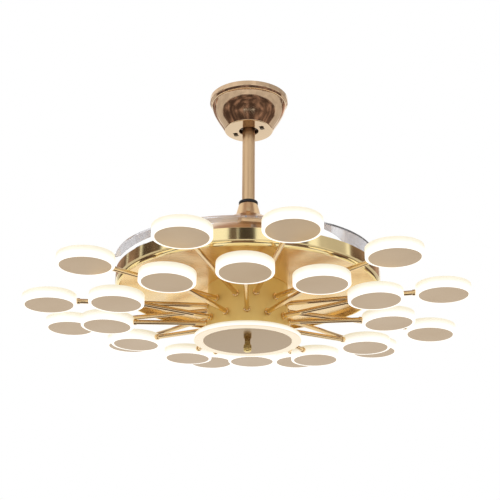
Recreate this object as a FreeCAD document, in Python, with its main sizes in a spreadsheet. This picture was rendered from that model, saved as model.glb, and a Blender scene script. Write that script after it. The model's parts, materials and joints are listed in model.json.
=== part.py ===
"""Chandelier ceiling fan with retracting blades, in millimetres, +Z up, origin on the ceiling."""
import FreeCAD
import Part
import Sketcher
import math
import os

from FreeCAD import Placement, Rotation, Vector

doc = FreeCAD.newDocument("chandelier_fan")

# Driving sizes, in millimetres, degrees or counts
SIZES = {
    # Clearances shared by the whole assembly
    "overrun": 2, "fit_gap": 0.05, "slide_gap": 0.4, "loose_gap": 0.3,
    # Ceiling bracket
    "bracket_length": 124, "bracket_width": 36, "bracket_thickness": 2.5,
    "ceiling_hole_spacing": 89, "ceiling_hole_radius": 3.2,
    "leg_offset": 37, "leg_width": 30, "seat_radius": 36, "seat_drop": 7, "seat_height": 9,
    "boss_radius": 5, "boss_offset": 30.5, "boss_turn": -30,
    "receiver_length": 62, "receiver_width": 30, "receiver_height": 16,
    # Canopy
    "canopy_radius": 80, "canopy_depth": 72, "canopy_flat_radius": 48.4, "canopy_wall": 1.2,
    "canopy_brim": 9.5, "canopy_brim_step": 4, "canopy_shoulder_radius": 72.5,
    "canopy_shoulder_drop": 31, "canopy_hole_radius": 20, "slot_length": 15, "slot_width": 6.4,
    "canopy_screw_radius": 2, "canopy_screw_head_radius": 4, "canopy_screw_head": 2.2,
    "canopy_screw_length": 10,
    # Ball joint and downrod
    "ball_drop": 44, "ball_radius": 25, "ball_top_cut": 18, "ball_bottom_cut": 20, "liner_wall": 2.5,
    "hanger_pin_radius": 3, "hanger_pin_length": 44,
    "rod_radius": 12.7, "rod_wall": 1.5, "rod_stub": 12, "rod_length": 232,
    # Rubber ring, neck cover and coupling
    "ring_radius": 19, "ring_height": 7,
    "neck_overhang": 4, "neck_height": 31, "neck_radius": 27, "neck_top_radius": 18.7, "neck_wall": 1.2,
    "neck_screw_lift": 10, "neck_screw_radius": 2.5, "neck_screw_head_radius": 4.5, "neck_screw_head": 2.5,
    "collar_grip": 24, "collar_web": 12, "collar_radius": 17,
    "bolt_lift": 10, "bolt_radius": 3, "bolt_head_radius": 5, "bolt_head": 3,
    # Shaft and bearings
    "shaft_radius": 8.5, "shaft_bore": 5, "thread_radius": 7, "thread_length": 11,
    "bearing_drop": 20, "bearing_width": 12, "bearing_outer_radius": 20, "bearing_inner_rim": 12,
    "bearing_outer_rim": 16.5, "bearing_ball_radius": 2.2, "bearing_ball_count": 9, "bearing_lip": 2,
    "lip_radius": 14, "lower_bearing_drop": 2,
    # Motor
    "housing_radius": 80, "housing_wall": 4, "housing_boss_radius": 26, "housing_boss_height": 20,
    "upper_depth": 28, "lower_depth": 46, "flange_radius": 98, "flange_thickness": 3,
    "stator_radius": 70, "stator_height": 26, "stator_drop": 4, "yoke_radius": 38,
    "tooth_count": 12, "tooth_width": 8, "shoe_width": 24, "shoe_depth": 7,
    "coil_build": 5, "coil_length": 18, "coil_start": 42,
    "magnet_gap": 0.7, "magnet_height": 32, "magnet_count": 8, "magnet_span_angle": 40,
    # Flared cover
    "cover_gap": 1, "cover_eye_radius": 28, "cover_radius": 150, "cover_fall": 80, "cover_wall": 1.4,
    "cover_flange": 12, "cover_screw_count": 6, "cover_screw_offset": 144,
    # Blade tray
    "tray_radius": 237, "tray_thickness": 2, "guide_radius": 150, "guide_width": 10, "guide_height": 8,
    "rotor_screw_radius": 2, "rotor_screw_head_radius": 4, "rotor_screw_head": 2.4, "rotor_screw_length": 5,
    "tray_screw_count": 8, "tray_screw_offset": 89,
    # Timing gears
    "gear_module": 2.5, "blade_teeth": 24, "ring_teeth": 136, "gear_lift": 0.5, "gear_thickness": 6,
    "addendum": 2, "dedendum": 2.6, "backlash": 0.4, "flank_angle": 20,
    "blade_sector_teeth": 13, "ring_sector_teeth": 15, "blade_lead_teeth": 2, "ring_lead_teeth": 3,
    "ring_plain_radius": 164,
    # Blades
    "blade_count": 4, "first_pivot_angle": 17, "blade_range_angle": 125,
    "blade_reach": 54, "blade_lift": 18, "blade_band": 60, "blade_rise": 15, "blade_thickness": 3.6,
    "tip_reach": 57, "tip_inner_reach": 46, "waist_reach": 5,
    "heel_outer": 24, "heel_inner": 22, "shell_inner": 90, "shell_outer": 12,
    "tip_turn": 93, "tip_inner_turn": 94, "tip_end_turn": 95.5, "tip_end_reach": 52.5,
    "rim_turn": 48, "waist_turn": 50,
    "holder_radius": 13, "holder_stand": 1.5, "arm_turn": 94, "arm_length": 76, "arm_width": 32,
    "arm_thickness": 5,
    "pivot_pin_radius": 5, "pivot_head_radius": 9, "pivot_head": 3,
    "blade_screw_first": 30, "blade_screw_step": 18, "blade_screw_count": 3,
    "blade_screw_radius": 1.8, "blade_screw_head_radius": 3.6, "blade_screw_head": 2, "blade_screw_length": 7,
    "spring_strip": 0.4, "spring_pitch": 0.9, "spring_turns": 2, "spring_height": 8, "spring_lift": 2,
    "pad_radius": 5, "pad_drop": 5.6, "pad_reach": 45, "end_pad_radius": 4, "end_pad_height": 7,
    "end_pad_offset": 171,
    # Lamp carrier, base plate and drum
    "carrier_gap": 3, "carrier_thickness": 2.5, "carrier_radius": 100, "base_thickness": 1.5,
    "drum_radius": 254.5, "drum_wall": 1.5, "drum_skirt": 10.5, "drum_height": 31.5, "drum_lip": 3,
    "drum_taper": 3,
    "shaft_nut_radius": 12, "shaft_nut_height": 8,
    "base_screw_count": 6, "base_screw_offset": 60, "base_screw_radius": 2, "base_screw_head_radius": 4,
    "base_screw_head": 2.4,
    # Hub and rods
    "hub_radius": 77, "hub_wall": 1.5, "hub_height": 95, "hub_flange": 27,
    "outer_hole_drop": 38, "hole_row_step": 34,
    "arm_rod_radius": 4.5, "arm_rod_bore": 3, "rod_tail": 8, "rod_entry": 12,
    "outer_reach": 374, "inner_reach": 268, "outer_first_angle": 15, "inner_first_angle": 0,
    "lamp_step_angle": 30,
    "rod_nut_radius": 7, "rod_nut_height": 3.5, "rod_nut_gap": 0.6, "ferrule_radius": 5.6,
    "ferrule_length": 6,
    # Lamps
    "lamp_radius": 50, "lamp_height": 20, "lamp_corner": 2, "lamp_top": 3, "lamp_plate_radius": 44.5,
    "lamp_plate_thickness": 2, "lamp_board_inset": 3, "board_thickness": 1.6,
    # Centre lamp and finial
    "pan_thickness": 2, "pan_spigot": 8, "centre_radius": 102, "centre_height": 10.5, "centre_corner": 2,
    "centre_top": 2, "centre_plate_radius": 84, "centre_plate_thickness": 1.5, "centre_board_inset": 4,
    "finial_neck_radius": 5.4, "finial_neck": 5.5, "finial_knob_radius": 7.6,
    "finial_knob": 14.5, "finial_chamfer": 2,
    "driver_length": 80, "driver_width": 44, "driver_height": 26,
}

# Heights worked out from the driving sizes, from the ceiling down
LEVELS = {
    "ball_centre": "=-dims.ball_drop",
    "seat_top": "=ball_centre - dims.seat_drop",
    "seat_bottom": "=seat_top - dims.seat_height",
    "canopy_flat": "=-dims.canopy_depth",
    "rod_top": "=ball_centre + dims.rod_stub",
    "rod_bottom": "=rod_top - dims.rod_length",
    "neck_bottom": "=rod_bottom - dims.neck_overhang",
    "neck_top": "=neck_bottom + dims.neck_height",
    "ring_top": "=neck_top + dims.ring_height",
    "collar_top": "=rod_bottom + dims.collar_grip",
    "collar_bottom": "=rod_bottom - dims.collar_web",
    "cover_top": "=neck_bottom - dims.cover_gap",
    "upper_bearing": "=collar_bottom - dims.bearing_drop",
    "housing_top": "=upper_bearing + dims.bearing_lip",
    "housing_shoulder": "=housing_top - dims.housing_boss_height",
    "housing_split": "=housing_shoulder - dims.upper_depth",
    "stator_middle": "=housing_split - dims.stator_drop",
    "flange_top": "=housing_split - dims.lower_depth",
    "flange_bottom": "=flange_top - dims.flange_thickness",
    "tray_top": "=flange_top + dims.tray_thickness",
    "guide_top": "=tray_top + dims.guide_height",
    "gear_bottom": "=tray_top + dims.gear_lift",
    "gear_top": "=gear_bottom + dims.gear_thickness",
    "pivot_radius": "=dims.gear_module * (dims.blade_teeth + dims.ring_teeth) / 2",
    "blade_edge": "=pivot_radius + dims.blade_reach",
    "blade_slope": "=dims.blade_rise / dims.blade_band",
    "blade_rim": "=tray_top + dims.blade_lift",
    "holder_top": "=blade_rim + dims.blade_reach * blade_slope + dims.blade_thickness"
                  " + dims.holder_stand",
    "lower_bearing": "=flange_top - dims.lower_bearing_drop",
    "housing_bottom": "=lower_bearing - dims.bearing_width - dims.bearing_lip",
    "carrier_top": "=housing_bottom - dims.carrier_gap",
    "base_top": "=carrier_top - dims.carrier_thickness",
    "base_bottom": "=base_top - dims.base_thickness",
    "drum_bottom": "=base_bottom - dims.drum_skirt",
    "drum_top": "=drum_bottom + dims.drum_height",
    "shaft_bottom": "=base_bottom - dims.thread_length",
    "outer_holes": "=base_bottom - dims.outer_hole_drop",
    "inner_holes": "=outer_holes - dims.hole_row_step",
    "hub_bottom": "=base_bottom - dims.hub_height",
    "pan_bottom": "=hub_bottom - dims.pan_thickness",
    "centre_bottom": "=pan_bottom - dims.centre_height",
}

# Each rod's own set, in degrees, from the front round to the right: the fitter's bend round and up
OUTER_TURNS = (-4, -4, -4, -1, -1, -2, -2.5, -2.5, -3, -4, -2.5, -1.5)
OUTER_LIFTS = (2.5, 0.5, -1, -2.5, -0.5, 0, 0, 1.5, 0, -2, -0.5, 1)
INNER_TURNS = (-1, -2, -1.5, -1.5, -2, -2, -2, -2, -2.5, -1.5, -1.5, -1)
INNER_LIFTS = (3, 1, 2, 2, 0, 0.5, 2, 1.5, 2, 1, 1, 2)

# The flared cover's slope, as shares of its spread and of its fall
COVER_SHARES = ((0, 0), (0.066, 0), (0.31, 0.24), (0.59, 0.51), (0.835, 0.775), (1, 1))

FULL_TURN = 360
QUARTER_TURN = 90
HEX_SIDES = 6

dims = doc.addObject("Spreadsheet::Sheet", "dims")
at = doc.addObject("Spreadsheet::Sheet", "at")
nodes = []


def fill(sheet, rows):
    """Write one alias and its value on each row."""
    for row, (alias, value) in enumerate(rows.items(), start=1):
        sheet.set(f"A{row}", alias)
        sheet.set(f"B{row}", str(value))
        sheet.setAlias(f"B{row}", alias)
    doc.recompute()


def size(name):
    """A driving size as a plain number."""
    return float(getattr(dims, name))


def level(name):
    """A worked-out height as a plain number."""
    return float(getattr(at, name))


def keep(item, label):
    """Name an object as one sub-part of the assembly."""
    item.Label = label
    nodes.append(item)
    return item


def origin_plane(body, role):
    """One of the body's own origin planes."""
    return next(item for item in body.Origin.OriginFeatures if item.Role == role)


def new_sketch(body, name, role):
    """An empty sketch on one of the body's origin planes."""
    sketch = body.newObject("Sketcher::SketchObject", name)
    sketch.AttachmentSupport = (origin_plane(body, role), [""])
    sketch.MapMode = "FlatFace"
    return sketch


def pin_point(sketch, line, axis, text, name):
    """Hold one coordinate of a line's start at a formula, or on the axis where it is zero."""
    if text == "0":
        sketch.addConstraint(Sketcher.Constraint("PointOnObject", line, 1, -2 if axis == "X" else -1))
        return
    number = float(dims.evalExpression(text))
    index = sketch.addConstraint(Sketcher.Constraint(f"Distance{axis}", -1, 1, line, 1, number))
    sketch.renameConstraint(index, name)
    sketch.setExpression(f"Constraints.{name}", text)


def draw_outline(sketch, points):
    """A closed outline of straight lines whose corners follow formulas."""
    spots = [Vector(*(0 if text == "0" else float(dims.evalExpression(text)) for text in pair),
                    0) for pair in points]
    count = len(spots)
    for number, spot in enumerate(spots):
        sketch.addGeometry(Part.LineSegment(spot, spots[(number + 1) % count]), False)
    for number in range(count):
        sketch.addConstraint(Sketcher.Constraint("Coincident", number, 2, (number + 1) % count, 1))
    for number, (across, up) in enumerate(points):
        pin_point(sketch, number, "X", across, f"across{number}")
        pin_point(sketch, number, "Y", up, f"up{number}")


def turned(name, points, angle=None):
    """A piece turned about Z from an outline of (radius, height) formulas."""
    body = doc.addObject("PartDesign::Body", name)
    sketch = new_sketch(body, name + "_outline", "XZ_Plane")
    draw_outline(sketch, points)
    turn = body.newObject("PartDesign::Revolution", name + "_turn")
    turn.Profile = sketch
    turn.ReferenceAxis = (sketch, ["V_Axis"])
    turn.Angle = FULL_TURN
    if angle:
        turn.setExpression("Angle", angle)
    body.Tip = turn
    doc.recompute()
    return body


def tube(name, inner, outer, top, bottom):
    """A plain ring between two radii and two heights."""
    return turned(name, [(inner, top), (outer, top), (outer, bottom), (inner, bottom)])


def place(item, across="0", along="0", up="0", rotation=None):
    """Put a primitive at formulas for X, Y and Z."""
    if rotation:
        item.Placement = Placement(Vector(), rotation)
    for letter, text in zip("xyz", (across, along, up)):
        if text != "0":
            item.setExpression(f"Placement.Base.{letter}", text)
    return item


def cylinder(name, radius, height, across="0", along="0", up="0", rotation=None):
    """A round bar standing on its base point."""
    item = doc.addObject("Part::Cylinder", name)
    item.setExpression("Radius", radius)
    item.setExpression("Height", height)
    return place(item, across, along, up, rotation)


def centred_box(name, length, width, height, across="0", up="0"):
    """A box centred on Y, and on X about the given place, standing on the given height."""
    item = doc.addObject("Part::Box", name)
    item.setExpression("Length", length)
    item.setExpression("Width", width)
    item.setExpression("Height", height)
    return place(item, f"{across} - ({length}) / 2", f"-({width}) / 2", up)


def cross_bar(name, radius, length, up="0", axis="X"):
    """A round bar lying across the axis, centred on it."""
    if axis == "X":
        return cylinder(name, radius, length, f"-({length}) / 2", up=up,
                        rotation=Rotation(Vector(0, 1, 0), QUARTER_TURN))
    return cylinder(name, radius, length, along=f"({length}) / 2", up=up,
                    rotation=Rotation(Vector(1, 0, 0), QUARTER_TURN))


def cut(name, base, *tools):
    """The base with the tools' shapes, which lie apart, taken away."""
    tool = doc.addObject("Part::Compound", name + "_tools")
    tool.Links = list(tools)
    item = doc.addObject("Part::Cut", name)
    item.Base = base
    item.Tool = tool
    doc.recompute()
    return item


def fuse(name, *shapes):
    """Several shapes joined into one piece."""
    item = doc.addObject("Part::MultiFuse", name)
    item.Shapes = list(shapes)
    item.Refine = True
    doc.recompute()
    return item


def common(name, *shapes):
    """The space that several shapes share."""
    item = doc.addObject("Part::MultiCommon", name)
    item.Shapes = list(shapes)
    doc.recompute()
    return item


def feature(name, shape):
    """A piece whose shape is worked out here from the sheet's sizes."""
    item = doc.addObject("Part::Feature", name)
    item.Shape = shape
    return item


def moved(shape, where):
    """A copy of a shape carried by a placement."""
    copy = shape.copy()
    copy.Placement = where.multiply(copy.Placement)
    return copy


def group(name, master, places):
    """Copies of one master piece, kept as separate solids."""
    doc.recompute()
    return feature(name, Part.makeCompound([moved(master.Shape, where) for where in places]))


def around(count, radius, height, first=0.0):
    """Places evenly spaced round Z, each turned to face outwards."""
    spots = []
    for number in range(int(count)):
        turn = Rotation(Vector(0, 0, 1), first + number * FULL_TURN / count)
        spots.append(Placement(turn.multVec(Vector(radius, 0, height)), turn))
    return spots


def screw(name, shank, length, head, head_height):
    """A screw with its head above the origin and its shank below."""
    return turned(name, [("0", head_height), (head, head_height), (head, "0"), (shank, "0"),
                         (shank, f"-({length})"), ("0", f"-({length})")])


def ceiling_bracket():
    """Stamped bracket: ceiling plate, two legs and the ring that carries the ball."""
    plate = centred_box("bracket_plate", "dims.bracket_length", "dims.bracket_width",
                        "dims.bracket_thickness",
                        up="-dims.bracket_thickness")
    legs = []
    for side, sign in (("left", "-"), ("right", "")):
        middle = f"{sign}(dims.leg_offset - dims.bracket_thickness / 2)"
        legs.append(centred_box(f"bracket_leg_{side}", "dims.bracket_thickness", "dims.leg_width",
                                "-at.seat_bottom",
                                middle, "at.seat_bottom"))
    ring = cylinder("bracket_ring", "dims.seat_radius", "dims.seat_height", up="at.seat_bottom")
    hollow = doc.addObject("Part::Sphere", "bracket_hollow")
    hollow.setExpression("Radius", "dims.ball_radius + dims.liner_wall + 2 * dims.fit_gap")
    place(hollow, up="at.ball_centre")
    seat = cut("bracket_seat", ring, hollow)
    boss = cylinder("bracket_boss", "dims.boss_radius", "at.seat_bottom - at.canopy_flat - dims.canopy_wall")
    tap = cylinder("bracket_tap", "dims.canopy_screw_radius + dims.fit_gap",
                   "dims.canopy_screw_length + dims.overrun")
    floor = level("canopy_flat") + size("canopy_wall")
    bosses = group("bracket_bosses", boss, around(2, size("boss_offset"), floor, size("boss_turn")))
    taps = group("bracket_taps", tap, around(2, size("boss_offset"), floor - size("overrun"),
                                             size("boss_turn")))
    hole = cylinder("ceiling_hole", "dims.ceiling_hole_radius", "dims.bracket_thickness + 2 * dims.overrun",
                    up="-dims.bracket_thickness - dims.overrun")
    holes = group("ceiling_holes", hole, around(2, size("ceiling_hole_spacing") / 2, 0))
    body = fuse("bracket_body", plate, *legs, seat, bosses)
    keep(cut("hanger_bracket", body, holes, taps), "hanger_bracket")
    keep(centred_box("receiver_box", "dims.receiver_length", "dims.receiver_width", "dims.receiver_height",
                     up="-dims.bracket_thickness - dims.receiver_height"), "receiver_box")


def canopy():
    """Spun cup with a brim, a round opening for the rod and two slots for its screws."""
    flat_inside = "at.canopy_flat + dims.canopy_wall"
    brim_foot = "-(dims.canopy_brim + dims.canopy_brim_step)"
    cup = turned("canopy_cup", [
        ("dims.canopy_radius", "0"),
        ("dims.canopy_radius", "-dims.canopy_brim"),
        ("dims.canopy_radius - dims.canopy_brim_step", brim_foot),
        ("dims.canopy_shoulder_radius", "-dims.canopy_shoulder_drop"),
        ("dims.canopy_flat_radius", "at.canopy_flat"),
        ("dims.canopy_hole_radius", "at.canopy_flat"),
        ("dims.canopy_hole_radius", flat_inside),
        ("dims.canopy_flat_radius - dims.canopy_wall", flat_inside),
        ("dims.canopy_shoulder_radius - dims.canopy_wall", "-dims.canopy_shoulder_drop"),
        ("dims.canopy_radius - dims.canopy_brim_step - dims.canopy_wall", brim_foot),
        ("dims.canopy_radius - dims.canopy_wall", "-dims.canopy_brim"),
        ("dims.canopy_radius - dims.canopy_wall", "0"),
    ])
    slot = centred_box("canopy_slot", "dims.slot_width", "dims.slot_length",
                       "dims.canopy_wall + 2 * dims.overrun")
    slots = group("canopy_slots", slot, around(2, size("boss_offset"), level("canopy_flat") - size("overrun"),
                                               size("boss_turn")))
    keep(cut("canopy", cup, slots), "canopy")
    master = screw("canopy_screw", "dims.canopy_screw_radius", "dims.canopy_screw_length",
                   "dims.canopy_screw_head_radius", "dims.canopy_screw_head")
    upside_down = Placement(Vector(), Rotation(Vector(1, 0, 0), FULL_TURN / 2))
    spots = [spot.multiply(upside_down) for spot in around(2, size("boss_offset"), level("canopy_flat"),
                                                           size("boss_turn"))]
    keep(group("canopy_screws", master, spots), "canopy_screws")


def ball_joint():
    """Nylon liner, hanger ball and the pin that ties the ball to the rod."""
    outside = doc.addObject("Part::Sphere", "liner_outside")
    outside.setExpression("Radius", "dims.ball_radius + dims.liner_wall + dims.fit_gap")
    place(outside, up="at.ball_centre")
    inside = doc.addObject("Part::Sphere", "liner_inside")
    inside.setExpression("Radius", "dims.ball_radius + dims.fit_gap")
    place(inside, up="at.ball_centre")
    zone = cylinder("liner_zone", "dims.seat_radius", "dims.seat_height", up="at.seat_bottom")
    keep(cut("ball_liner", common("liner_shell", outside, zone), inside), "ball_liner")
    sphere = doc.addObject("Part::Sphere", "ball_sphere")
    sphere.setExpression("Radius", "dims.ball_radius")
    place(sphere, up="at.ball_centre")
    slab = cylinder("ball_slab", "dims.ball_radius", "dims.ball_top_cut + dims.ball_bottom_cut",
                    up="at.ball_centre - dims.ball_bottom_cut")
    bore = cylinder("ball_bore", "dims.rod_radius + dims.fit_gap",
                    "dims.ball_top_cut + dims.ball_bottom_cut + 2 * dims.overrun",
                    up="at.ball_centre - dims.ball_bottom_cut - dims.overrun")
    pin_hole = cross_bar("hanger_pin_hole", "dims.hanger_pin_radius + dims.fit_gap", "2 * dims.ball_radius",
                         "at.ball_centre")
    keep(cut("hanger_ball", common("ball_zone", sphere, slab), bore, pin_hole), "hanger_ball")
    keep(cross_bar("hanger_pin", "dims.hanger_pin_radius", "dims.hanger_pin_length", "at.ball_centre"),
         "hanger_pin")


def downrod():
    """Steel tube from the ball to the coupling, with a cross hole near each end."""
    pipe = tube("downrod_pipe", "dims.rod_radius - dims.rod_wall", "dims.rod_radius", "at.rod_top",
                "at.rod_bottom")
    upper = cross_bar("downrod_upper_hole", "dims.hanger_pin_radius + dims.fit_gap",
                      "2 * dims.rod_radius + dims.overrun", "at.ball_centre")
    lower = cross_bar("downrod_lower_hole", "dims.bolt_radius + dims.fit_gap",
                      "2 * dims.rod_radius + dims.overrun", "at.rod_bottom + dims.bolt_lift")
    keep(cut("downrod", pipe, upper, lower), "downrod")


def coupling():
    """Rubber ring, neck cover with its screw, and the collar and bolt underneath."""
    bore = "dims.rod_radius + dims.fit_gap"
    keep(tube("rubber_ring", bore, "dims.ring_radius", "at.ring_top", "at.neck_top"), "rubber_ring")
    cone = turned("neck_cone", [
        (bore, "at.neck_top"), ("dims.neck_top_radius", "at.neck_top"),
        ("dims.neck_radius", "at.neck_bottom"),
        ("dims.neck_radius - dims.neck_wall", "at.neck_bottom"),
        ("dims.neck_top_radius - dims.neck_wall", "at.neck_top - dims.neck_wall"),
        (bore, "at.neck_top - dims.neck_wall"),
    ])
    screw_height = "at.neck_bottom + dims.neck_screw_lift"
    to_front = Rotation(Vector(1, 0, 0), QUARTER_TURN)
    hole = cylinder("neck_hole", "dims.neck_screw_radius + dims.fit_gap", "dims.neck_radius", up=screw_height,
                    rotation=to_front)
    keep(cut("neck_cover", cone, hole), "neck_cover")
    shank = cylinder("neck_screw_shank", "dims.neck_screw_radius", "dims.neck_radius - dims.collar_radius",
                     along="-dims.collar_radius", up=screw_height, rotation=to_front)
    head = cylinder("neck_screw_head", "dims.neck_screw_head_radius", "dims.neck_screw_head",
                    along="-dims.neck_radius", up=screw_height, rotation=to_front)
    keep(fuse("neck_screw", shank, head), "neck_screw")
    sleeve = turned("collar_sleeve", [
        (bore, "at.collar_top"), ("dims.collar_radius", "at.collar_top"),
        ("dims.collar_radius", "at.collar_bottom"),
        ("dims.shaft_radius", "at.collar_bottom"), ("dims.shaft_radius", "at.rod_bottom"),
        (bore, "at.rod_bottom"),
    ])
    bolt_height = "at.rod_bottom + dims.bolt_lift"
    bolt_hole = cross_bar("collar_hole", "dims.bolt_radius + dims.fit_gap",
                          "2 * dims.collar_radius + dims.overrun",
                          bolt_height)
    keep(cut("coupling_collar", sleeve, bolt_hole), "coupling_collar")
    bar = cross_bar("coupling_bar", "dims.bolt_radius", "2 * dims.collar_radius", bolt_height)
    cap = cylinder("coupling_head", "dims.bolt_head_radius", "dims.bolt_head", "dims.collar_radius",
                   up=bolt_height,
                   rotation=Rotation(Vector(0, 1, 0), QUARTER_TURN))
    keep(fuse("coupling_bolt", bar, cap), "coupling_bolt")


def bearing_set(name, inner, outer):
    """The same race at the upper and the lower bearing."""
    master = tube(name + "_race", inner, outer, "dims.bearing_width", "0")
    spots = [Placement(Vector(0, 0, level(top) - size("bearing_width")), Rotation())
             for top in ("upper_bearing", "lower_bearing")]
    keep(group(name, master, spots), name)


def shaft_and_bearings():
    """Hollow fixed shaft, and the races and balls of its two bearings."""
    keep(turned("motor_shaft", [
        ("dims.shaft_bore", "at.rod_bottom"), ("dims.shaft_radius", "at.rod_bottom"),
        ("dims.shaft_radius", "at.carrier_top"), ("dims.thread_radius", "at.carrier_top"),
        ("dims.thread_radius", "at.shaft_bottom"), ("dims.shaft_bore", "at.shaft_bottom"),
    ]), "motor_shaft")
    bearing_set("bearing_inner_races", "dims.shaft_radius", "dims.bearing_inner_rim")
    bearing_set("bearing_outer_races", "dims.bearing_outer_rim", "dims.bearing_outer_radius")
    ball = doc.addObject("Part::Sphere", "bearing_ball")
    ball.setExpression("Radius", "dims.bearing_ball_radius")
    pitch = (size("bearing_inner_rim") + size("bearing_outer_rim")) / 2
    spots = []
    for top in ("upper_bearing", "lower_bearing"):
        spots += around(size("bearing_ball_count"), pitch, level(top) - size("bearing_width") / 2)
    keep(group("bearing_balls", ball, spots), "bearing_balls")


def stator():
    """Laminated core with twelve wound teeth, fixed to the shaft."""
    half = "dims.stator_height / 2"
    yoke = tube("stator_yoke", "dims.shaft_radius", "dims.yoke_radius", f"at.stator_middle + {half}",
                f"at.stator_middle - {half}")
    stem = centred_box("stator_stem", "dims.stator_radius - dims.yoke_radius", "dims.tooth_width",
                       "dims.stator_height",
                       "(dims.stator_radius + dims.yoke_radius) / 2 - dims.shoe_depth / 2", f"-{half}")
    shoe = centred_box("stator_shoe", "dims.shoe_depth * 2", "dims.shoe_width", "dims.stator_height",
                       "dims.stator_radius", f"-{half}")
    teeth = group("stator_teeth", fuse("stator_tooth", stem, shoe),
                  around(size("tooth_count"), 0, level("stator_middle")))
    rim = cylinder("stator_rim", "dims.stator_radius", "dims.stator_height", up=f"at.stator_middle - {half}")
    keep(common("stator_core", fuse("stator_star", yoke, teeth), rim), "stator_core")
    outside = centred_box("coil_outside", "dims.coil_length", "dims.tooth_width + 2 * dims.coil_build",
                          "dims.stator_height + 2 * dims.coil_build",
                          "dims.coil_start + dims.coil_length / 2", f"-{half} - dims.coil_build")
    inside = centred_box("coil_inside", "dims.coil_length + 2 * dims.overrun",
                         "dims.tooth_width + dims.fit_gap",
                         "dims.stator_height + dims.fit_gap", "dims.coil_start + dims.coil_length / 2",
                         f"-{half} - dims.fit_gap / 2")
    keep(group("stator_windings", cut("stator_coil", outside, inside),
               around(size("tooth_count"), 0, level("stator_middle"))), "stator_windings")


def motor_housings():
    """Two halves of the spinning housing, with the magnets on the inside of their wall."""
    pocket = "dims.bearing_outer_radius"
    wall = "dims.housing_radius - dims.housing_wall"
    ceiling = "at.housing_shoulder - dims.housing_wall"
    floor = "at.flange_bottom + dims.housing_wall"
    keep(turned("upper_housing", [
        ("dims.lip_radius", "at.housing_top"), ("dims.housing_boss_radius", "at.housing_top"),
        ("dims.housing_boss_radius", "at.housing_shoulder"), ("dims.housing_radius", "at.housing_shoulder"),
        ("dims.housing_radius", "at.housing_split"), (wall, "at.housing_split"), (wall, ceiling),
        (pocket, ceiling),
        (pocket, "at.upper_bearing"), ("dims.lip_radius", "at.upper_bearing"),
    ]), "upper_housing")
    shell = turned("lower_shell", [
        (wall, "at.housing_split"), ("dims.housing_radius", "at.housing_split"),
        ("dims.housing_radius", "at.flange_top"),
        ("dims.flange_radius", "at.flange_top"), ("dims.flange_radius", "at.flange_bottom"),
        ("dims.housing_boss_radius", "at.flange_bottom"), ("dims.housing_boss_radius", "at.housing_bottom"),
        ("dims.lip_radius", "at.housing_bottom"), ("dims.lip_radius", "at.housing_bottom + dims.bearing_lip"),
        (pocket, "at.housing_bottom + dims.bearing_lip"), (pocket, floor), (wall, floor),
    ])
    keep(cut("lower_housing", shell, screw_holes("flange_holes", "tray_screw", "flange_bottom")),
         "lower_housing")
    magnet = turned("magnet", [
        ("dims.stator_radius + dims.magnet_gap", "dims.magnet_height / 2"), (wall, "dims.magnet_height / 2"),
        (wall, "-dims.magnet_height / 2"),
        ("dims.stator_radius + dims.magnet_gap", "-dims.magnet_height / 2"),
    ], "dims.magnet_span_angle")
    keep(group("rotor_magnets", magnet, around(size("magnet_count"), 0, level("stator_middle"))),
         "rotor_magnets")


def screw_holes(name, ring, bottom):
    """Clearance holes for one ring of the rotor's screws, through everything above the given height."""
    hole = cylinder(name + "_hole", "dims.rotor_screw_radius + dims.fit_gap",
                    "dims.rotor_screw_length + 2 * dims.overrun + dims.guide_height")
    return group(name, hole, around(size(ring + "_count"), size(ring + "_offset"),
                                    level(bottom) - size("overrun")))


def flared_cover():
    """Spun cover that slopes from the neck down to the blade tray."""
    spread = "(dims.cover_radius - dims.cover_eye_radius)"
    outer = [(f"dims.cover_eye_radius + {across} * {spread}", f"at.cover_top - {down} * dims.cover_fall")
             for across, down in COVER_SHARES]
    inner = [(f"{across} - {sign} * dims.cover_wall", f"{up} - dims.cover_wall")
             for sign, (across, up) in zip((0, 0, 0, 0, 0, 1), outer)]
    flange_top = "at.guide_top + dims.cover_wall"
    guide_inner = "dims.guide_radius - dims.guide_width"
    shell = turned("cover_shell", outer + [
        ("dims.cover_radius", flange_top), ("dims.cover_radius + dims.cover_flange", flange_top),
        ("dims.cover_radius + dims.cover_flange", "at.guide_top"), (guide_inner, "at.guide_top"),
        (guide_inner, flange_top), ("dims.cover_radius - dims.cover_wall", flange_top),
    ] + inner[::-1])
    keep(cut("motor_cover", shell, screw_holes("cover_holes", "cover_screw", "tray_top")), "motor_cover")


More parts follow.
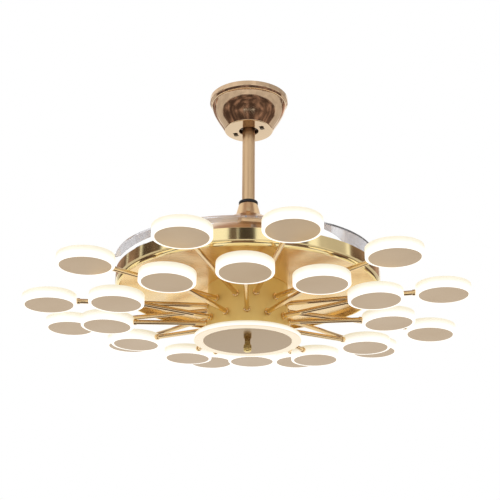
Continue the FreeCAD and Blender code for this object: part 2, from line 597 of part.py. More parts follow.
def blade_tray():
    """Disc that carries the blade pivots, with a raised ring that guides the ring gear."""
    bore = "dims.housing_radius + dims.fit_gap"
    guide = "dims.guide_radius - 2 * dims.fit_gap"
    disc = turned("tray_disc", [
        (bore, "at.flange_top"), ("dims.tray_radius", "at.flange_top"), ("dims.tray_radius", "at.tray_top"),
        (guide, "at.tray_top"), (guide, "at.guide_top"),
        ("dims.guide_radius - dims.guide_width", "at.guide_top"),
        ("dims.guide_radius - dims.guide_width", "at.tray_top"), (bore, "at.tray_top"),
    ])
    pin_hole = cylinder("tray_pin_hole", "dims.pivot_pin_radius + dims.fit_gap",
                        "dims.tray_thickness + 2 * dims.overrun")
    pin_holes = group("tray_pin_holes", pin_hole, pivots(level("flange_top") - size("overrun")))
    keep(cut("blade_tray", disc, pin_holes, screw_holes("tray_holes", "tray_screw", "flange_bottom"),
             screw_holes("guide_holes", "cover_screw", "tray_top")), "blade_tray")
    master = screw("rotor_screw", "dims.rotor_screw_radius", "dims.rotor_screw_length",
                   "dims.rotor_screw_head_radius",
                   "dims.rotor_screw_head")
    spots = around(size("tray_screw_count"), size("tray_screw_offset"), level("tray_top"))
    spots += around(size("cover_screw_count"), size("cover_screw_offset"),
                    level("guide_top") + size("cover_wall"))
    keep(group("rotor_screws", master, spots), "rotor_screws")
    pin = screw("pivot_pin", "dims.pivot_pin_radius", "at.holder_top + dims.loose_gap - at.flange_top",
                "dims.pivot_head_radius", "dims.pivot_head")
    keep(group("pivot_pins", pin, pivots(level("holder_top") + size("loose_gap"))), "pivot_pins")


def pivots(height):
    """The blade pivots, first blade first, each turned to face outwards."""
    first = size("first_pivot_angle") - QUARTER_TURN
    return around(size("blade_count"), level("pivot_radius"), height, first)


def polar(radius, turn):
    """A point on the blade's plan, turned clockwise from the pivot's own radius."""
    angle = math.radians(-turn)
    return Vector(radius * math.cos(angle), radius * math.sin(angle), 0)


def gear_outline(radius, teeth, first, count, plain_radius, phase):
    """Points of a run of straight-flanked teeth, as (radius, angle in degrees) pairs."""
    step = FULL_TURN / teeth
    tip = radius + size("addendum")
    root = radius - size("dedendum")
    half = math.pi * size("gear_module") / 4 - size("backlash") / 2
    lean = math.tan(math.radians(size("flank_angle")))
    tip_half = math.degrees((half - size("addendum") * lean) / radius)
    root_half = math.degrees((half + size("dedendum") * lean) / radius)
    spots = [(plain_radius, first + phase * step - step / 2)]
    for number in range(count):
        middle = first + (number + phase) * step
        spots += [(root, middle - root_half), (tip, middle - tip_half), (tip, middle + tip_half),
                  (root, middle + root_half)]
    spots.append((plain_radius, first + (count - 1 + phase) * step + step / 2))
    return spots


def sector(spots, bottom, thickness):
    """A slab whose outline runs through polar points and closes round the centre."""
    corners = [polar(radius, -angle) + Vector(0, 0, bottom) for radius, angle in spots]
    wire = Part.makePolygon(corners + corners[:1])
    return Part.Face(wire).extrude(Vector(0, 0, thickness))


def ring_gear():
    """Ring gear that times the blades: four runs of teeth on one plain ring."""
    teeth = int(size("ring_teeth"))
    count = int(size("ring_sector_teeth"))
    radius = size("gear_module") * teeth / 2
    bottom = level("gear_bottom")
    thickness = size("gear_thickness")
    bore = Part.makeCylinder(size("guide_radius"), thickness, Vector(0, 0, bottom))
    ring = Part.makeCylinder(size("ring_plain_radius"), thickness, Vector(0, 0, bottom))
    lead = size("ring_lead_teeth") * FULL_TURN / teeth
    gap_share = 0.5
    runs = []
    for where in pivots(0):
        turn = math.degrees(where.Rotation.Angle) * where.Rotation.Axis.z
        spots = gear_outline(radius, teeth, turn - lead, count, size("guide_radius"), gap_share)
        runs.append(sector([(0, 0)] + spots, bottom, thickness))
    keep(feature("sync_ring", ring.multiFuse(runs).cut(bore).removeSplitter()), "sync_ring")


def blade_shell(name, top, bottom):
    """A sloping band round the axis, between two heights measured at the blade's rim."""
    inner = "at.blade_edge - dims.shell_inner"
    outer = "at.blade_edge + dims.shell_outer"
    rise = "dims.shell_inner * at.blade_slope"
    fall = "dims.shell_outer * at.blade_slope"
    return turned(name, [(inner, f"{top} + {rise}"), (outer, f"{top} - {fall}"),
                         (outer, f"{bottom} - {fall}"), (inner, f"{bottom} + {rise}")])


def blade_plan():
    """The crescent that a blade fills when it is folded, with a round heel and a round tip."""
    pivot = level("pivot_radius")
    heel_outer = Vector(pivot + size("heel_outer"), 0, 0)
    heel_inner = Vector(pivot - size("heel_inner"), 0, 0)
    heel_back = Vector(pivot, (size("heel_outer") + size("heel_inner")) / 2, 0)
    rim = polar(level("blade_edge"), size("rim_turn"))
    waist = polar(pivot + size("waist_reach"), size("waist_turn"))
    tip = polar(pivot + size("tip_reach"), size("tip_turn"))
    tip_end = polar(pivot + size("tip_end_reach"), size("tip_end_turn"))
    tip_inner = polar(pivot + size("tip_inner_reach"), size("tip_inner_turn"))
    edges = [Part.Arc(heel_outer, rim, tip).toShape(), Part.Arc(tip, tip_end, tip_inner).toShape(),
             Part.Arc(tip_inner, waist, heel_inner).toShape(), Part.Arc(heel_inner, heel_back,
                                                                        heel_outer).toShape()]
    outline = Part.Wire(edges)
    outline.translate(Vector(0, 0, level("flange_bottom")))
    return Part.Face(outline).extrude(Vector(0, 0, level("cover_top") - level("flange_bottom")))


def arm_direction():
    """Which way the holder's arm points on the folded blade's plan."""
    return polar(1, size("arm_turn"))


def blade_screw_spots():
    """Places of one blade's screws, square to its slope, on its upper face."""
    slope = math.atan(level("blade_slope"))
    spots = []
    for number in range(int(size("blade_screw_count"))):
        reach = size("blade_screw_first") + number * size("blade_screw_step")
        spot = Vector(level("pivot_radius"), 0, 0) + arm_direction() * reach
        radius = math.hypot(spot.x, spot.y)
        turn = Rotation(Vector(0, 0, 1), math.degrees(math.atan2(spot.y, spot.x)))
        lean = Rotation(Vector(0, 1, 0), math.degrees(slope))
        rise = (level("blade_edge") - radius) * level("blade_slope")
        top = level("blade_rim") + rise + size("blade_thickness")
        spots.append(Placement(Vector(spot.x, spot.y, top + size("fit_gap")), turn.multiply(lean)))
    return spots


def blades():
    """Four clear blades, each on a holder with a run of gear teeth, held by its screws."""
    plan = feature("blade_plan", blade_plan())
    band = blade_shell("blade_band", "at.blade_rim + dims.blade_thickness", "at.blade_rim")
    under = blade_shell("arm_band", "at.blade_rim", "at.blade_rim - dims.arm_thickness")
    boss_hole = cylinder("blade_boss_hole", "dims.holder_radius + dims.fit_gap", "-at.flange_top",
                         "at.pivot_radius",
                         up="at.flange_top")
    master_screw = screw("blade_screw", "dims.blade_screw_radius", "dims.blade_screw_length",
                         "dims.blade_screw_head_radius", "dims.blade_screw_head")
    drill = cylinder("blade_drill", "dims.blade_screw_radius + dims.fit_gap",
                     "dims.blade_screw_length + 2 * dims.overrun",
                     up="-dims.blade_screw_length - dims.overrun")
    drills = group("blade_drills", drill, blade_screw_spots())
    panel = cut("blade_master", common("blade_crescent", plan, band), boss_hole, drills)

    arm_box = centred_box("arm_box", "dims.arm_length", "dims.arm_width", "-at.flange_top",
                          "dims.arm_length / 2",
                          "at.flange_top")
    swing = Rotation(Vector(0, 0, 1), -size("arm_turn"))
    bar = group("arm_bar", arm_box, [Placement(Vector(level("pivot_radius"), 0, 0), swing)])
    boss = cylinder("holder_boss", "dims.holder_radius", "at.holder_top - at.gear_bottom", "at.pivot_radius",
                    up="at.gear_bottom")
    teeth = int(size("blade_teeth"))
    count = int(size("blade_sector_teeth"))
    radius = size("gear_module") * teeth / 2
    step = FULL_TURN / teeth
    first = FULL_TURN / 2 + (size("blade_lead_teeth") + 1 - count) * step
    spots = gear_outline(radius, teeth, first, count, size("holder_radius"), 0)
    run = feature("holder_teeth", sector([(0, 0)] + spots, level("gear_bottom"), size("gear_thickness")))
    run.Placement = Placement(Vector(level("pivot_radius"), 0, 0), Rotation())
    pin_bore = cylinder("holder_bore", "dims.pivot_pin_radius + dims.fit_gap", "-at.flange_top",
                        "at.pivot_radius",
                        up="at.flange_top")
    holder = cut("holder_master", fuse("holder_body", common("holder_arm", bar, under), boss, run), pin_bore,
                 drills)
    first = size("first_pivot_angle") - QUARTER_TURN
    for number, where in enumerate(around(size("blade_count"), 0, 0, first),
                                   start=1):
        keep(group(f"blade_{number}_panel", panel, [where]), f"blade_{number}_panel")
        keep(group(f"blade_{number}_holder", holder, [where]), f"blade_{number}_holder")
        keep(group(f"blade_{number}_screws", master_screw,
                   [where.multiply(spot) for spot in blade_screw_spots()]),
             f"blade_{number}_screws")


def spiral_strip(inner_radius):
    """A flat spring strip wound in half turns about two centres, each half turn wider than the last."""
    half = size("spring_strip") / 2
    shift = size("spring_pitch") / 2
    half_turns = 2 * int(size("spring_turns"))
    up = Vector(0, 0, 1)
    edges = []
    for side in (-half, half):
        for count in range(half_turns):
            radius = inner_radius + half + shift * count + side
            lower = count % 2
            start = lower * FULL_TURN / 2
            edges.append(Part.makeCircle(radius, Vector(shift * lower, 0, 0), up, start,
                                         start + FULL_TURN / 2))
    for reach in (inner_radius, inner_radius + shift * half_turns):
        edges.append(Part.makeLine(Vector(reach, 0, 0), Vector(reach + 2 * half, 0, 0)))
    outline = Part.Wire(Part.__sortEdges__(edges))
    return Part.Face(outline).extrude(up * size("spring_height"))


def stops_and_springs():
    """Rubber pads at both ends of the blades' travel, and the springs that fold them back."""
    turns = around(size("blade_count"), 0, level("tray_top"), size("first_pivot_angle") - QUARTER_TURN)
    ahead = arm_direction()
    aside = Vector(ahead.y, -ahead.x, 0)
    offset = size("arm_width") / 2 + size("pad_radius") + size("slide_gap")
    spot = Vector(level("pivot_radius"), 0, 0) + ahead * size("pad_reach") + aside * offset
    pad = cylinder("closed_pad", "dims.pad_radius", "at.holder_top - dims.pad_drop - at.tray_top")
    end_pad = cylinder("open_pad", "dims.end_pad_radius", "dims.end_pad_height")
    ratio = size("blade_teeth") / size("ring_teeth")
    tooth_turn = FULL_TURN / size("ring_teeth")
    pad_turn = math.degrees((size("end_pad_radius") + size("slide_gap")) / size("end_pad_offset"))
    end_turn = size("blade_range_angle") * ratio + size("ring_lead_teeth") * tooth_turn + pad_turn
    end_spot = polar(size("end_pad_offset"), end_turn)
    doc.recompute()
    solids = [moved(pad.Shape, turn.multiply(Placement(spot, Rotation()))) for turn in turns]
    solids += [moved(end_pad.Shape, turn.multiply(Placement(end_spot, Rotation()))) for turn in turns]
    keep(feature("stop_pads", Part.makeCompound(solids)), "stop_pads")
    coil = feature("spring_coil", spiral_strip(size("holder_radius") + size("slide_gap")))
    keep(group("return_springs", coil, pivots(level("gear_top") + size("spring_lift"))), "return_springs")


def lamp_base():
    """Carrier plate, mirror base plate, drum band, shaft nut and screws."""
    bore = "dims.thread_radius + dims.fit_gap"
    plate = tube("carrier_disc", bore, "dims.carrier_radius", "at.carrier_top", "at.base_top")
    mirror = tube("base_disc", bore, "dims.drum_radius - dims.drum_wall - dims.fit_gap", "at.base_top",
                  "at.base_bottom")
    hole = cylinder("base_screw_hole", "dims.base_screw_radius + dims.fit_gap",
                    "-at.hub_bottom + at.carrier_top")
    holes = group("base_screw_holes", hole, around(size("base_screw_count"), size("base_screw_offset"),
                                                   level("base_bottom") - size("hub_wall") - size("overrun")))
    keep(cut("lamp_carrier", plate, holes), "lamp_carrier")
    keep(cut("base_plate", mirror, holes), "base_plate")
    inside = "dims.drum_radius - dims.drum_wall"
    keep(turned("drum_band", [
        (inside, "at.drum_top"), ("dims.drum_radius", "at.drum_top"),
        ("dims.drum_radius", "at.drum_bottom + dims.drum_taper"),
        ("dims.drum_radius - dims.drum_wall", "at.drum_bottom"),
        ("dims.drum_radius - dims.drum_wall - dims.drum_lip", "at.drum_bottom"),
        ("dims.drum_radius - dims.drum_wall - dims.drum_lip", "at.drum_bottom + dims.drum_wall"),
        (inside, "at.drum_bottom + dims.drum_taper"),
    ]), "drum_band")
    hexagon = doc.addObject("Part::Prism", "shaft_hexagon")
    hexagon.Polygon = HEX_SIDES
    hexagon.setExpression("Circumradius", "dims.shaft_nut_radius")
    hexagon.setExpression("Height", "dims.shaft_nut_height")
    place(hexagon, up="at.base_bottom - dims.shaft_nut_height")
    thread = cylinder("shaft_nut_thread", "dims.thread_radius", "dims.shaft_nut_height + 2 * dims.overrun",
                      up="at.base_bottom - dims.shaft_nut_height - dims.overrun")
    keep(cut("shaft_nut", hexagon, thread), "shaft_nut")
    master = screw("base_screw", "dims.base_screw_radius", "at.carrier_top - at.base_bottom + dims.hub_wall",
                   "dims.base_screw_head_radius", "dims.base_screw_head")
    upside_down = Placement(Vector(), Rotation(Vector(1, 0, 0), FULL_TURN / 2))
    spots = around(size("base_screw_count"), size("base_screw_offset"),
                   level("base_bottom") - size("hub_wall"))
    keep(group("base_screws", master, [spot.multiply(upside_down) for spot in spots]), "base_screws")
    return holes


def rod_places(row, reach=0.0):
    """Where each rod of a row starts on the hub's axis, with X along the rod, moved out by the reach."""
    turns, lifts = (OUTER_TURNS, OUTER_LIFTS) if row == "outer" else (INNER_TURNS, INNER_LIFTS)
    spots = []
    for number, (turn, lift) in enumerate(zip(turns, lifts)):
        heading = size(row + "_first_angle") + number * size("lamp_step_angle") + turn - QUARTER_TURN
        aim = Rotation(Vector(0, 0, 1), heading).multiply(Rotation(Vector(0, 1, 0), -lift))
        start = Vector(0, 0, level(row + "_holes"))
        spots.append(Placement(start + aim.multVec(Vector(reach, 0, 0)), aim))
    return spots


def along_rods(row, reach=0.0):
    """The same places with Z along the rod."""
    tip = Placement(Vector(), Rotation(Vector(0, 1, 0), QUARTER_TURN))
    return [spot.multiply(tip) for spot in rod_places(row, reach)]


def hub_and_rods(screw_tools):
    """Hub cylinder, its two rows of rods, their nuts, ferrules and the driver inside."""
    wall = "dims.hub_radius - dims.hub_wall"
    shell = turned("hub_shell", [
        ("dims.hub_radius - dims.hub_flange", "at.base_bottom"), ("dims.hub_radius", "at.base_bottom"),
        ("dims.hub_radius", "at.hub_bottom"), (wall, "at.hub_bottom"),
        (wall, "at.base_bottom - dims.hub_wall"),
        ("dims.hub_radius - dims.hub_flange", "at.base_bottom - dims.hub_wall"),
    ])
    hole = cylinder("hub_hole", "dims.arm_rod_radius + dims.fit_gap", "dims.hub_wall + 2 * dims.overrun",
                    up="dims.hub_radius - dims.hub_wall - dims.overrun")
    holes = group("hub_holes", hole, along_rods("outer") + along_rods("inner"))
    keep(cut("hub", shell, holes, screw_tools), "hub")
    start = "dims.hub_radius - dims.hub_wall - dims.rod_tail"
    for row in ("outer", "inner"):
        master = tube(f"{row}_rod", "dims.arm_rod_bore", "dims.arm_rod_radius",
                      f"dims.{row}_reach - dims.lamp_radius + dims.rod_entry", start)
        keep(group(f"{row}_rods", master, along_rods(row)), f"{row}_rods")
    nut = tube("rod_nut", "dims.arm_rod_radius + dims.fit_gap", "dims.rod_nut_radius", "dims.rod_nut_height",
               "0")
    seat = size("hub_radius") + size("rod_nut_gap")
    keep(group("rod_nuts", nut, along_rods("outer", seat) + along_rods("inner", seat)), "rod_nuts")
    ferrule = tube("lamp_ferrule", "dims.arm_rod_radius + dims.fit_gap", "dims.ferrule_radius",
                   "dims.ferrule_length", "0")
    back = size("lamp_radius") + size("loose_gap") + size("ferrule_length")
    keep(group("lamp_ferrules", ferrule, along_rods("outer", size("outer_reach") - back)
               + along_rods("inner", size("inner_reach") - back)), "lamp_ferrules")
    keep(centred_box("led_driver", "dims.driver_length", "dims.driver_width", "dims.driver_height",
                     up="at.hub_bottom"),
         "led_driver")


def lamps():
    """The ring lamps: an opal cup, a metal plate that closes it and the board on the plate."""
    half = "dims.lamp_height / 2"
    mouth = "dims.lamp_plate_radius + dims.fit_gap"
    cup = turned("lamp_cup", [
        ("0", half), ("dims.lamp_radius - dims.lamp_corner", half),
        ("dims.lamp_radius", f"{half} - dims.lamp_corner"),
        ("dims.lamp_radius", f"-{half} + dims.lamp_corner"),
        ("dims.lamp_radius - dims.lamp_corner", f"-{half}"),
        (mouth, f"-{half}"), (mouth, f"{half} - dims.lamp_top"), ("0", f"{half} - dims.lamp_top"),
    ])
    entry = cylinder("lamp_entry", "dims.arm_rod_radius + dims.fit_gap", "dims.rod_entry + dims.overrun",
                     "-dims.lamp_radius - dims.overrun", rotation=Rotation(Vector(0, 1, 0), QUARTER_TURN))
    spots = rod_places("outer", size("outer_reach")) + rod_places("inner", size("inner_reach"))
    keep(group("lamp_diffusers", cut("lamp_diffuser", cup, entry), spots), "lamp_diffusers")
    board_floor = f"-{half} + dims.lamp_plate_thickness"
    plate = turned("lamp_plate", [("0", board_floor), ("dims.lamp_plate_radius", board_floor),
                                  ("dims.lamp_plate_radius", f"-{half}"), ("0", f"-{half}")])
    keep(group("lamp_plates", plate, spots), "lamp_plates")
    board_radius = "dims.lamp_plate_radius - dims.lamp_board_inset"
    board_top = f"{board_floor} + dims.board_thickness"
    board = turned("lamp_board", [("0", board_top), (board_radius, board_top), (board_radius, board_floor),
                                  ("0", board_floor)])
    keep(group("lamp_led_boards", board, spots), "lamp_led_boards")


def centre_lamp():
    """Pan that closes the hub, the wide opal disc below it, its plate, board and finial."""
    spigot = "dims.hub_radius - dims.hub_wall - dims.fit_gap"
    keep(turned("centre_pan", [
        ("0", "at.hub_bottom"), (f"{spigot} - dims.pan_thickness", "at.hub_bottom"),
        (f"{spigot} - dims.pan_thickness", "at.hub_bottom + dims.pan_spigot"),
        (spigot, "at.hub_bottom + dims.pan_spigot"), (spigot, "at.hub_bottom"),
        ("dims.hub_radius", "at.hub_bottom"),
        ("dims.hub_radius", "at.pan_bottom"), ("0", "at.pan_bottom"),
    ]), "centre_pan")
    mouth = "dims.centre_plate_radius + dims.fit_gap"
    rim = "dims.centre_radius - dims.centre_corner"
    keep(turned("centre_diffuser", [
        ("0", "at.pan_bottom"), (rim, "at.pan_bottom"),
        ("dims.centre_radius", "at.pan_bottom - dims.centre_corner"),
        ("dims.centre_radius", "at.centre_bottom + dims.centre_corner"), (rim, "at.centre_bottom"),
        (mouth, "at.centre_bottom"), (mouth, "at.pan_bottom - dims.centre_top"),
        ("0", "at.pan_bottom - dims.centre_top"),
    ]), "centre_diffuser")
    plate_top = "at.centre_bottom + dims.centre_plate_thickness"
    board_radius = "dims.centre_plate_radius - dims.centre_board_inset"
    keep(turned("centre_plate", [
        ("0", plate_top), ("dims.centre_plate_radius", plate_top),
        ("dims.centre_plate_radius", "at.centre_bottom"),
        ("0", "at.centre_bottom"),
    ]), "centre_plate")
    keep(turned("centre_led_board", [
        ("0", f"{plate_top} + dims.board_thickness"), (board_radius, f"{plate_top} + dims.board_thickness"),
        (board_radius, plate_top), ("0", plate_top),
    ]), "centre_led_board")
    knob_top = "at.centre_bottom - dims.finial_neck"
    knob_bottom = f"{knob_top} - dims.finial_knob"
    keep(turned("finial", [
        ("0", "at.centre_bottom"),
        ("dims.finial_neck_radius", "at.centre_bottom"), ("dims.finial_neck_radius", knob_top),
        ("dims.finial_knob_radius", f"{knob_top} - dims.finial_chamfer"),
        ("dims.finial_knob_radius", f"{knob_bottom} + dims.finial_chamfer"),
        ("dims.finial_knob_radius - dims.finial_chamfer", knob_bottom), ("0", knob_bottom),
    ]), "finial")


def check_and_write():
    """Stop on any failed object, then write one file for each sub-part."""
    doc.recompute()
    for item in doc.Objects:
        if "Invalid" in item.State or "Error" in item.State:
            raise RuntimeError(f"{item.Label} failed: {item.State}")
    for item in nodes:
        if item.Shape.isNull() or not item.Shape.isValid() or not item.Shape.Solids:
            raise RuntimeError(f"{item.Label} has no valid solid")
    os.makedirs("parts", exist_ok=True)
    for item in nodes:
        item.Shape.exportStep(f"parts/{item.Label}.step")
    print(len(nodes), "sub-parts written")


fill(dims, SIZES)
fill(at, LEVELS)
ceiling_bracket()
canopy()
ball_joint()
downrod()
coupling()
shaft_and_bearings()
stator()
motor_housings()
flared_cover()
blade_tray()
ring_gear()
blades()
stops_and_springs()
base_holes = lamp_base()
hub_and_rods(base_holes)
lamps()
centre_lamp()
check_and_write()
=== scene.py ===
"""Chandelier ceiling fan: the looks of its canopy, rod, drum, lamps and blades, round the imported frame."""

import json
import math

import bpy
import numpy as np
from bpy.props import FloatProperty, FloatVectorProperty, IntProperty, PointerProperty
from mathutils import Matrix, Vector


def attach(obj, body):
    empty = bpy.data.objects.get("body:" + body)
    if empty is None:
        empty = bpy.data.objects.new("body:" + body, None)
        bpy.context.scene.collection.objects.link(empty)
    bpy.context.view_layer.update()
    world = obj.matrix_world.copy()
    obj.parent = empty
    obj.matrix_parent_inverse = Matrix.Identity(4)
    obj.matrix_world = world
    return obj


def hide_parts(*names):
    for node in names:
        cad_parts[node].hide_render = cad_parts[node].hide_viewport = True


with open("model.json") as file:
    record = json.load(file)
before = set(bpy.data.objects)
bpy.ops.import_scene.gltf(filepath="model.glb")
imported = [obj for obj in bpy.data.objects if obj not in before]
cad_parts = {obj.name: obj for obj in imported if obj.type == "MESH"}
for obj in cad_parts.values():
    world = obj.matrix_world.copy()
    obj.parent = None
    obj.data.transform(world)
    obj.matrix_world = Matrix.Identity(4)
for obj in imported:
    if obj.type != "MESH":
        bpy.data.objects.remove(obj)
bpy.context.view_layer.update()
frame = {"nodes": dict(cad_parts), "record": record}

bl_info = {
    "name": "Chandelier Ceiling Fan",
    "version": (1, 0, 0),
    "blender": (4, 5, 0),
    "location": "View3D > Sidebar > Fan",
    "description": "Dresses the frame of a ceiling fan with twenty-four ring lamps and folding blades",
    "category": "Object",
}

MM = 0.001
TOUCH = 2e-5
WELD_DIGITS = 6
SMOOTH_ANGLE = math.radians(28)
UP = Vector((0, 0, 1))
FINISH_END = "_finish"
BLADE_NUMBERS = range(1, 5)
WHITE = (1, 1, 1, 1)
# The sockets of a Mix node that mixes colours
MIX_SHARE = 0
MIX_FIRST = 6
MIX_SECOND = 7
MIX_RESULT = 2

# Outlines of the turned pieces, ring by ring: what the radius and the height are counted from, how far they
# are from there and how far the corner is rounded, in millimetres
CANOPY_RINGS = (
    ("outside", "top", 0, 0, 0), ("outside", "top", 0, -9.8, 1.2), ("axis", "top", 77, -14.6, 0.4),
    ("axis", "top", 75.2, -15.2, 0.2), ("axis", "top", 75.7, -18, 0.4), ("axis", "top", 74.4, -22.4, 0),
    ("axis", "top", 71.9, -30, 0), ("axis", "top", 68.4, -37.5, 0), ("axis", "top", 64, -45.5, 0),
    ("axis", "top", 59.2, -53.5, 0), ("axis", "top", 54, -61.5, 0), ("axis", "foot", 48.4, 0, 1.6),
    ("axis", "foot", 20, 0, 0),
)
DOWNROD_RINGS = (("outside", "top", 0, 0, 0.4), ("outside", "foot", 0, 0, 0.4))
RUBBER_RINGS = (
    ("rod", "top", 0.1, 0, 0), ("outside", "top", 0, 0, 2), ("outside", "foot", 0, 0, 1.5),
    ("rod", "foot", 0.1, 0, 0), ("rod", "top", 0.1, 0, 0),
)
NECK_RINGS = (
    ("rod", "top", 0.5, 0, 0), ("axis", "top", 18.7, 0, 1.4), ("outside", "foot", 0, 0, 1),
    ("outside", "foot", -2, 0, 0),
)
COVER_RINGS = (
    ("axis", "top", 28, 0, 0), ("axis", "top", 36, 0, 2.5), ("axis", "top", 65.8, -19.2, 9),
    ("axis", "top", 100, -40.8, 9), ("axis", "top", 129.9, -62, 9), ("axis", "top", 150, -80, 5),
    ("axis", "flange", 150, 0, 2), ("outside", "flange", 0, 0, 0),
)
DRUM_RINGS = (
    ("outside", "top", -1.5, 0, 0), ("outside", "top", 0, 0, 0.5), ("outside", "foot", 0, 6, 4),
    ("outside", "foot", -4, 0, 1.2), ("outside", "foot", -7.5, 0, 0.4), ("outside", "foot", -7.5, 1.5, 0),
    ("outside", "foot", -5, 1.5, 0), ("outside", "foot", -1.5, 6.5, 0), ("outside", "top", -1.5, 0, 0),
)
HUB_RINGS = (
    ("axis", "top", 50, 0, 0), ("outside", "top", 0, 0, 1.2), ("outside", "foot", 0, 0, 0.5),
    ("outside", "foot", -2, 0, 0),
)
ROD_RINGS = (("outside", "foot", 0, 0, 0.5), ("outside", "top", 0, 0, 0.5))
FERRULE_RINGS = (
    ("rod", "foot", 0.1, 0, 0), ("rod", "foot", 0.7, 0, 0.1), ("rod", "foot", 1.1, 0.8, 0.2),
    ("rod", "top", 1.1, -0.8, 0.2), ("rod", "top", 0.7, 0, 0.1), ("rod", "top", 0.1, 0, 0),
    ("rod", "foot", 0.1, 0, 0),
)
CUP_RINGS = (
    ("axis", "top", 30, 0, 0), ("outside", "top", 0, 0, 2), ("outside", "foot", 0, 0, 2),
    ("plate", "foot", 0.3, 0, 0.3), ("plate", "top", 0.3, -3, 0),
)
PLATE_RINGS = (("outside", "top", 0, 0, 0), ("outside", "foot", 0, 0, 0.5), ("outside", "foot", -4.5, 0, 0))
CENTRE_CUP_RINGS = (
    ("axis", "top", 60, 0, 0), ("outside", "top", 0, 0, 2), ("outside", "foot", 0, 0, 2),
    ("plate", "foot", 0.3, 0, 0.3), ("plate", "top", 0.3, -2, 0),
)
CENTRE_PLATE_RINGS = (("outside", "top", 0, 0, 0), ("outside", "foot", 0, 0, 0.5), ("flat", "foot", 0, 0, 0))
CENTRE_FLAT_SHARE = 0.8
FINIAL_RINGS = (
    ("axis", "top", 5.4, 0, 0), ("axis", "top", 5.4, -5.5, 0.4), ("outside", "top", -0.8, -6.5, 0.5),
    ("outside", "top", 0, -8, 0.4), ("outside", "foot", 0, 5.2, 0.3), ("outside", "foot", -0.8, 4.4, 0.2),
    ("outside", "foot", 0, 3.6, 0.3), ("outside", "foot", 0, 2, 0.7), ("outside", "foot", -2, 0, 0.5),
    ("axis", "foot", 2, 0, 0),
)

# Platings whose colour is a setting: that setting, roughness, and the shares of cloud, grain and metal
PLATINGS = {
    "polished_gold": ("gold", 0.10, 0.10, 0.0, 1.0),
    "drum_gold": ("drum_gold", 0.11, 0.06, 0.0, 1.0),
    "hub_gold": ("hub_gold", 0.45, 0.06, 0.0, 0.7),
    "finial_gold": ("hub_gold", 0.24, 0.06, 0.0, 0.75),
    # Base plate: a peach mirror plate, its colour raised to full red as painted light for the lamps' glow on
    # it
    "mirror_gold": ("mirror_gold", 0.2, 0.04, 0.0, 0.88),
    "rose_gold": ("rose_gold", 0.09, 0.08, 0.0, 1.0),
    "cover_gold": ("cover_gold", 0.3, 0.08, 0.0, 1.0),
    "rod_gold": ("rod_gold", 0.32, 0.05, 0.0, 1.0),
    "champagne_plate": ("champagne", 0.34, 0.05, 0.4, 1.0),
    "centre_champagne": ("centre_champagne", 0.16, 0.04, 0.0, 1.0),
}
# Metals of the workings: colour, roughness, and the shares of cloud and grain
METALS = {
    "plated_steel": ((0.62, 0.62, 0.63), 0.3, 0.12, 0.3),
    # Canopy screws: a blackened-steel tone, darkened further as painted shade that stands for the inside of
    # their slots
    "dark_screw": ((0.12, 0.085, 0.045), 0.35, 0.12, 0.0),
    "dark_zinc": ((0.07, 0.06, 0.05), 0.5, 0.2, 0.4),
    "motor_casting": ((0.55, 0.55, 0.56), 0.48, 0.2, 0.8),
    "stator_iron": ((0.2, 0.2, 0.22), 0.5, 0.25, 0.8),
}
COPPER = (0.72, 0.34, 0.16)
# How far up a lamp's side its glow changes, and the share of the edge's colour in the last change but one
GLOW_STEPS = (0.0, 0.08, 0.2, 0.3, 0.75, 1.0)
GLOW_EDGE_SHARE = 0.75
# The blades' streaks, whose dull and bright tints are a painted reflection of the folded acrylic: how close
# they lie, and where they turn from dull to plain and to bright
REFLECTION_STREAKS_PER_METRE = 260.0
PAINTED_REFLECTION_STEPS = (0.36, 0.46, 0.54, 0.64)
# Plastics and rubbers: colour, roughness, and the scale and height of their spark texture
MOULDINGS = {
    # Stop pads: copper-toned rubber, painted lighter as painted light, so that in their shade they read as
    # light as the cover beside them
    "pad_rubber": ((0.92, 0.70, 0.53), 0.5, 1400.0, 0.15),
    "white_nylon": ((0.82, 0.81, 0.77), 0.42, 1400.0, 0.15),
    "grey_nylon": ((0.32, 0.32, 0.33), 0.45, 1400.0, 0.15),
    "board_white": ((0.86, 0.86, 0.83), 0.35, 300.0, 0.05),
}
# The ring on the downrod, whose colour is a setting
RUBBER_MOULDING = (0.55, 1400.0, 0.15)
# Parts that keep their own shape and whose finish isn't that of their slot
# The canopy screws' finish is painted shade for the inside of their slots
SPECIAL_FINISHES = {
    # Stop pads: painted light, lifted against their shade
    "base_plate": "mirror_gold", "stop_pads": "pad_rubber", "canopy_screws": "dark_screw",
    "neck_screw": "cover_gold", "hanger_bracket": "dark_zinc",
    **{f"blade_{number}_holder": "cover_gold" for number in BLADE_NUMBERS},
}

SENSOR_MM = 36
FLOOR_SIZE = 16
FLOOR_TINTS = ((0.84, 0.84, 0.83, 1), (0.88, 0.88, 0.87, 1))
# What polished metal sees of the floor, from its dullest to its palest patches: the steps and their shades
SHEEN_STEPS = (0.35, 0.5, 0.65)
SHEEN_SHADES = ((0.88, 0.88, 0.88), (0.95, 0.95, 0.95), (1.0, 1.0, 1.0))
# The soft boxes on either side of the camera: name, place and share of the key light's power
SOFT_BOXES = (("soft_box_left", (-2.2, -2.0, 0.4), 1.0), ("soft_box_right", (2.2, -2.0, 0.4), 0.7))
SOFT_BOX_AIM = Vector((0, 0, -0.4))
SOFT_BOX_SIZE = 1.4
FLAG_REACH = 2.6
# Each high flag's heading from the front round to the right and its width, in degrees, its shade and the
# share of it that is soft
HIGH_FLAGS = (
    (-1, 15, 0.05, 0.2), (-12, 8, 0.2, 0.3), (-86, 27, 0.1, 0.3), (-110, 22, 0.34, 0.2),
    (-140, 42, 0.27, 0.3), (44, 12, 0.09, 0.4), (73, 34, 0.58, 0.3), (105, 29, 0.24, 0.25),
    (134, 40, 0.35, 0.3),
)
HIGH_FLAG_FOOT = 0.36
HIGH_FLAG_TOP = 1.0
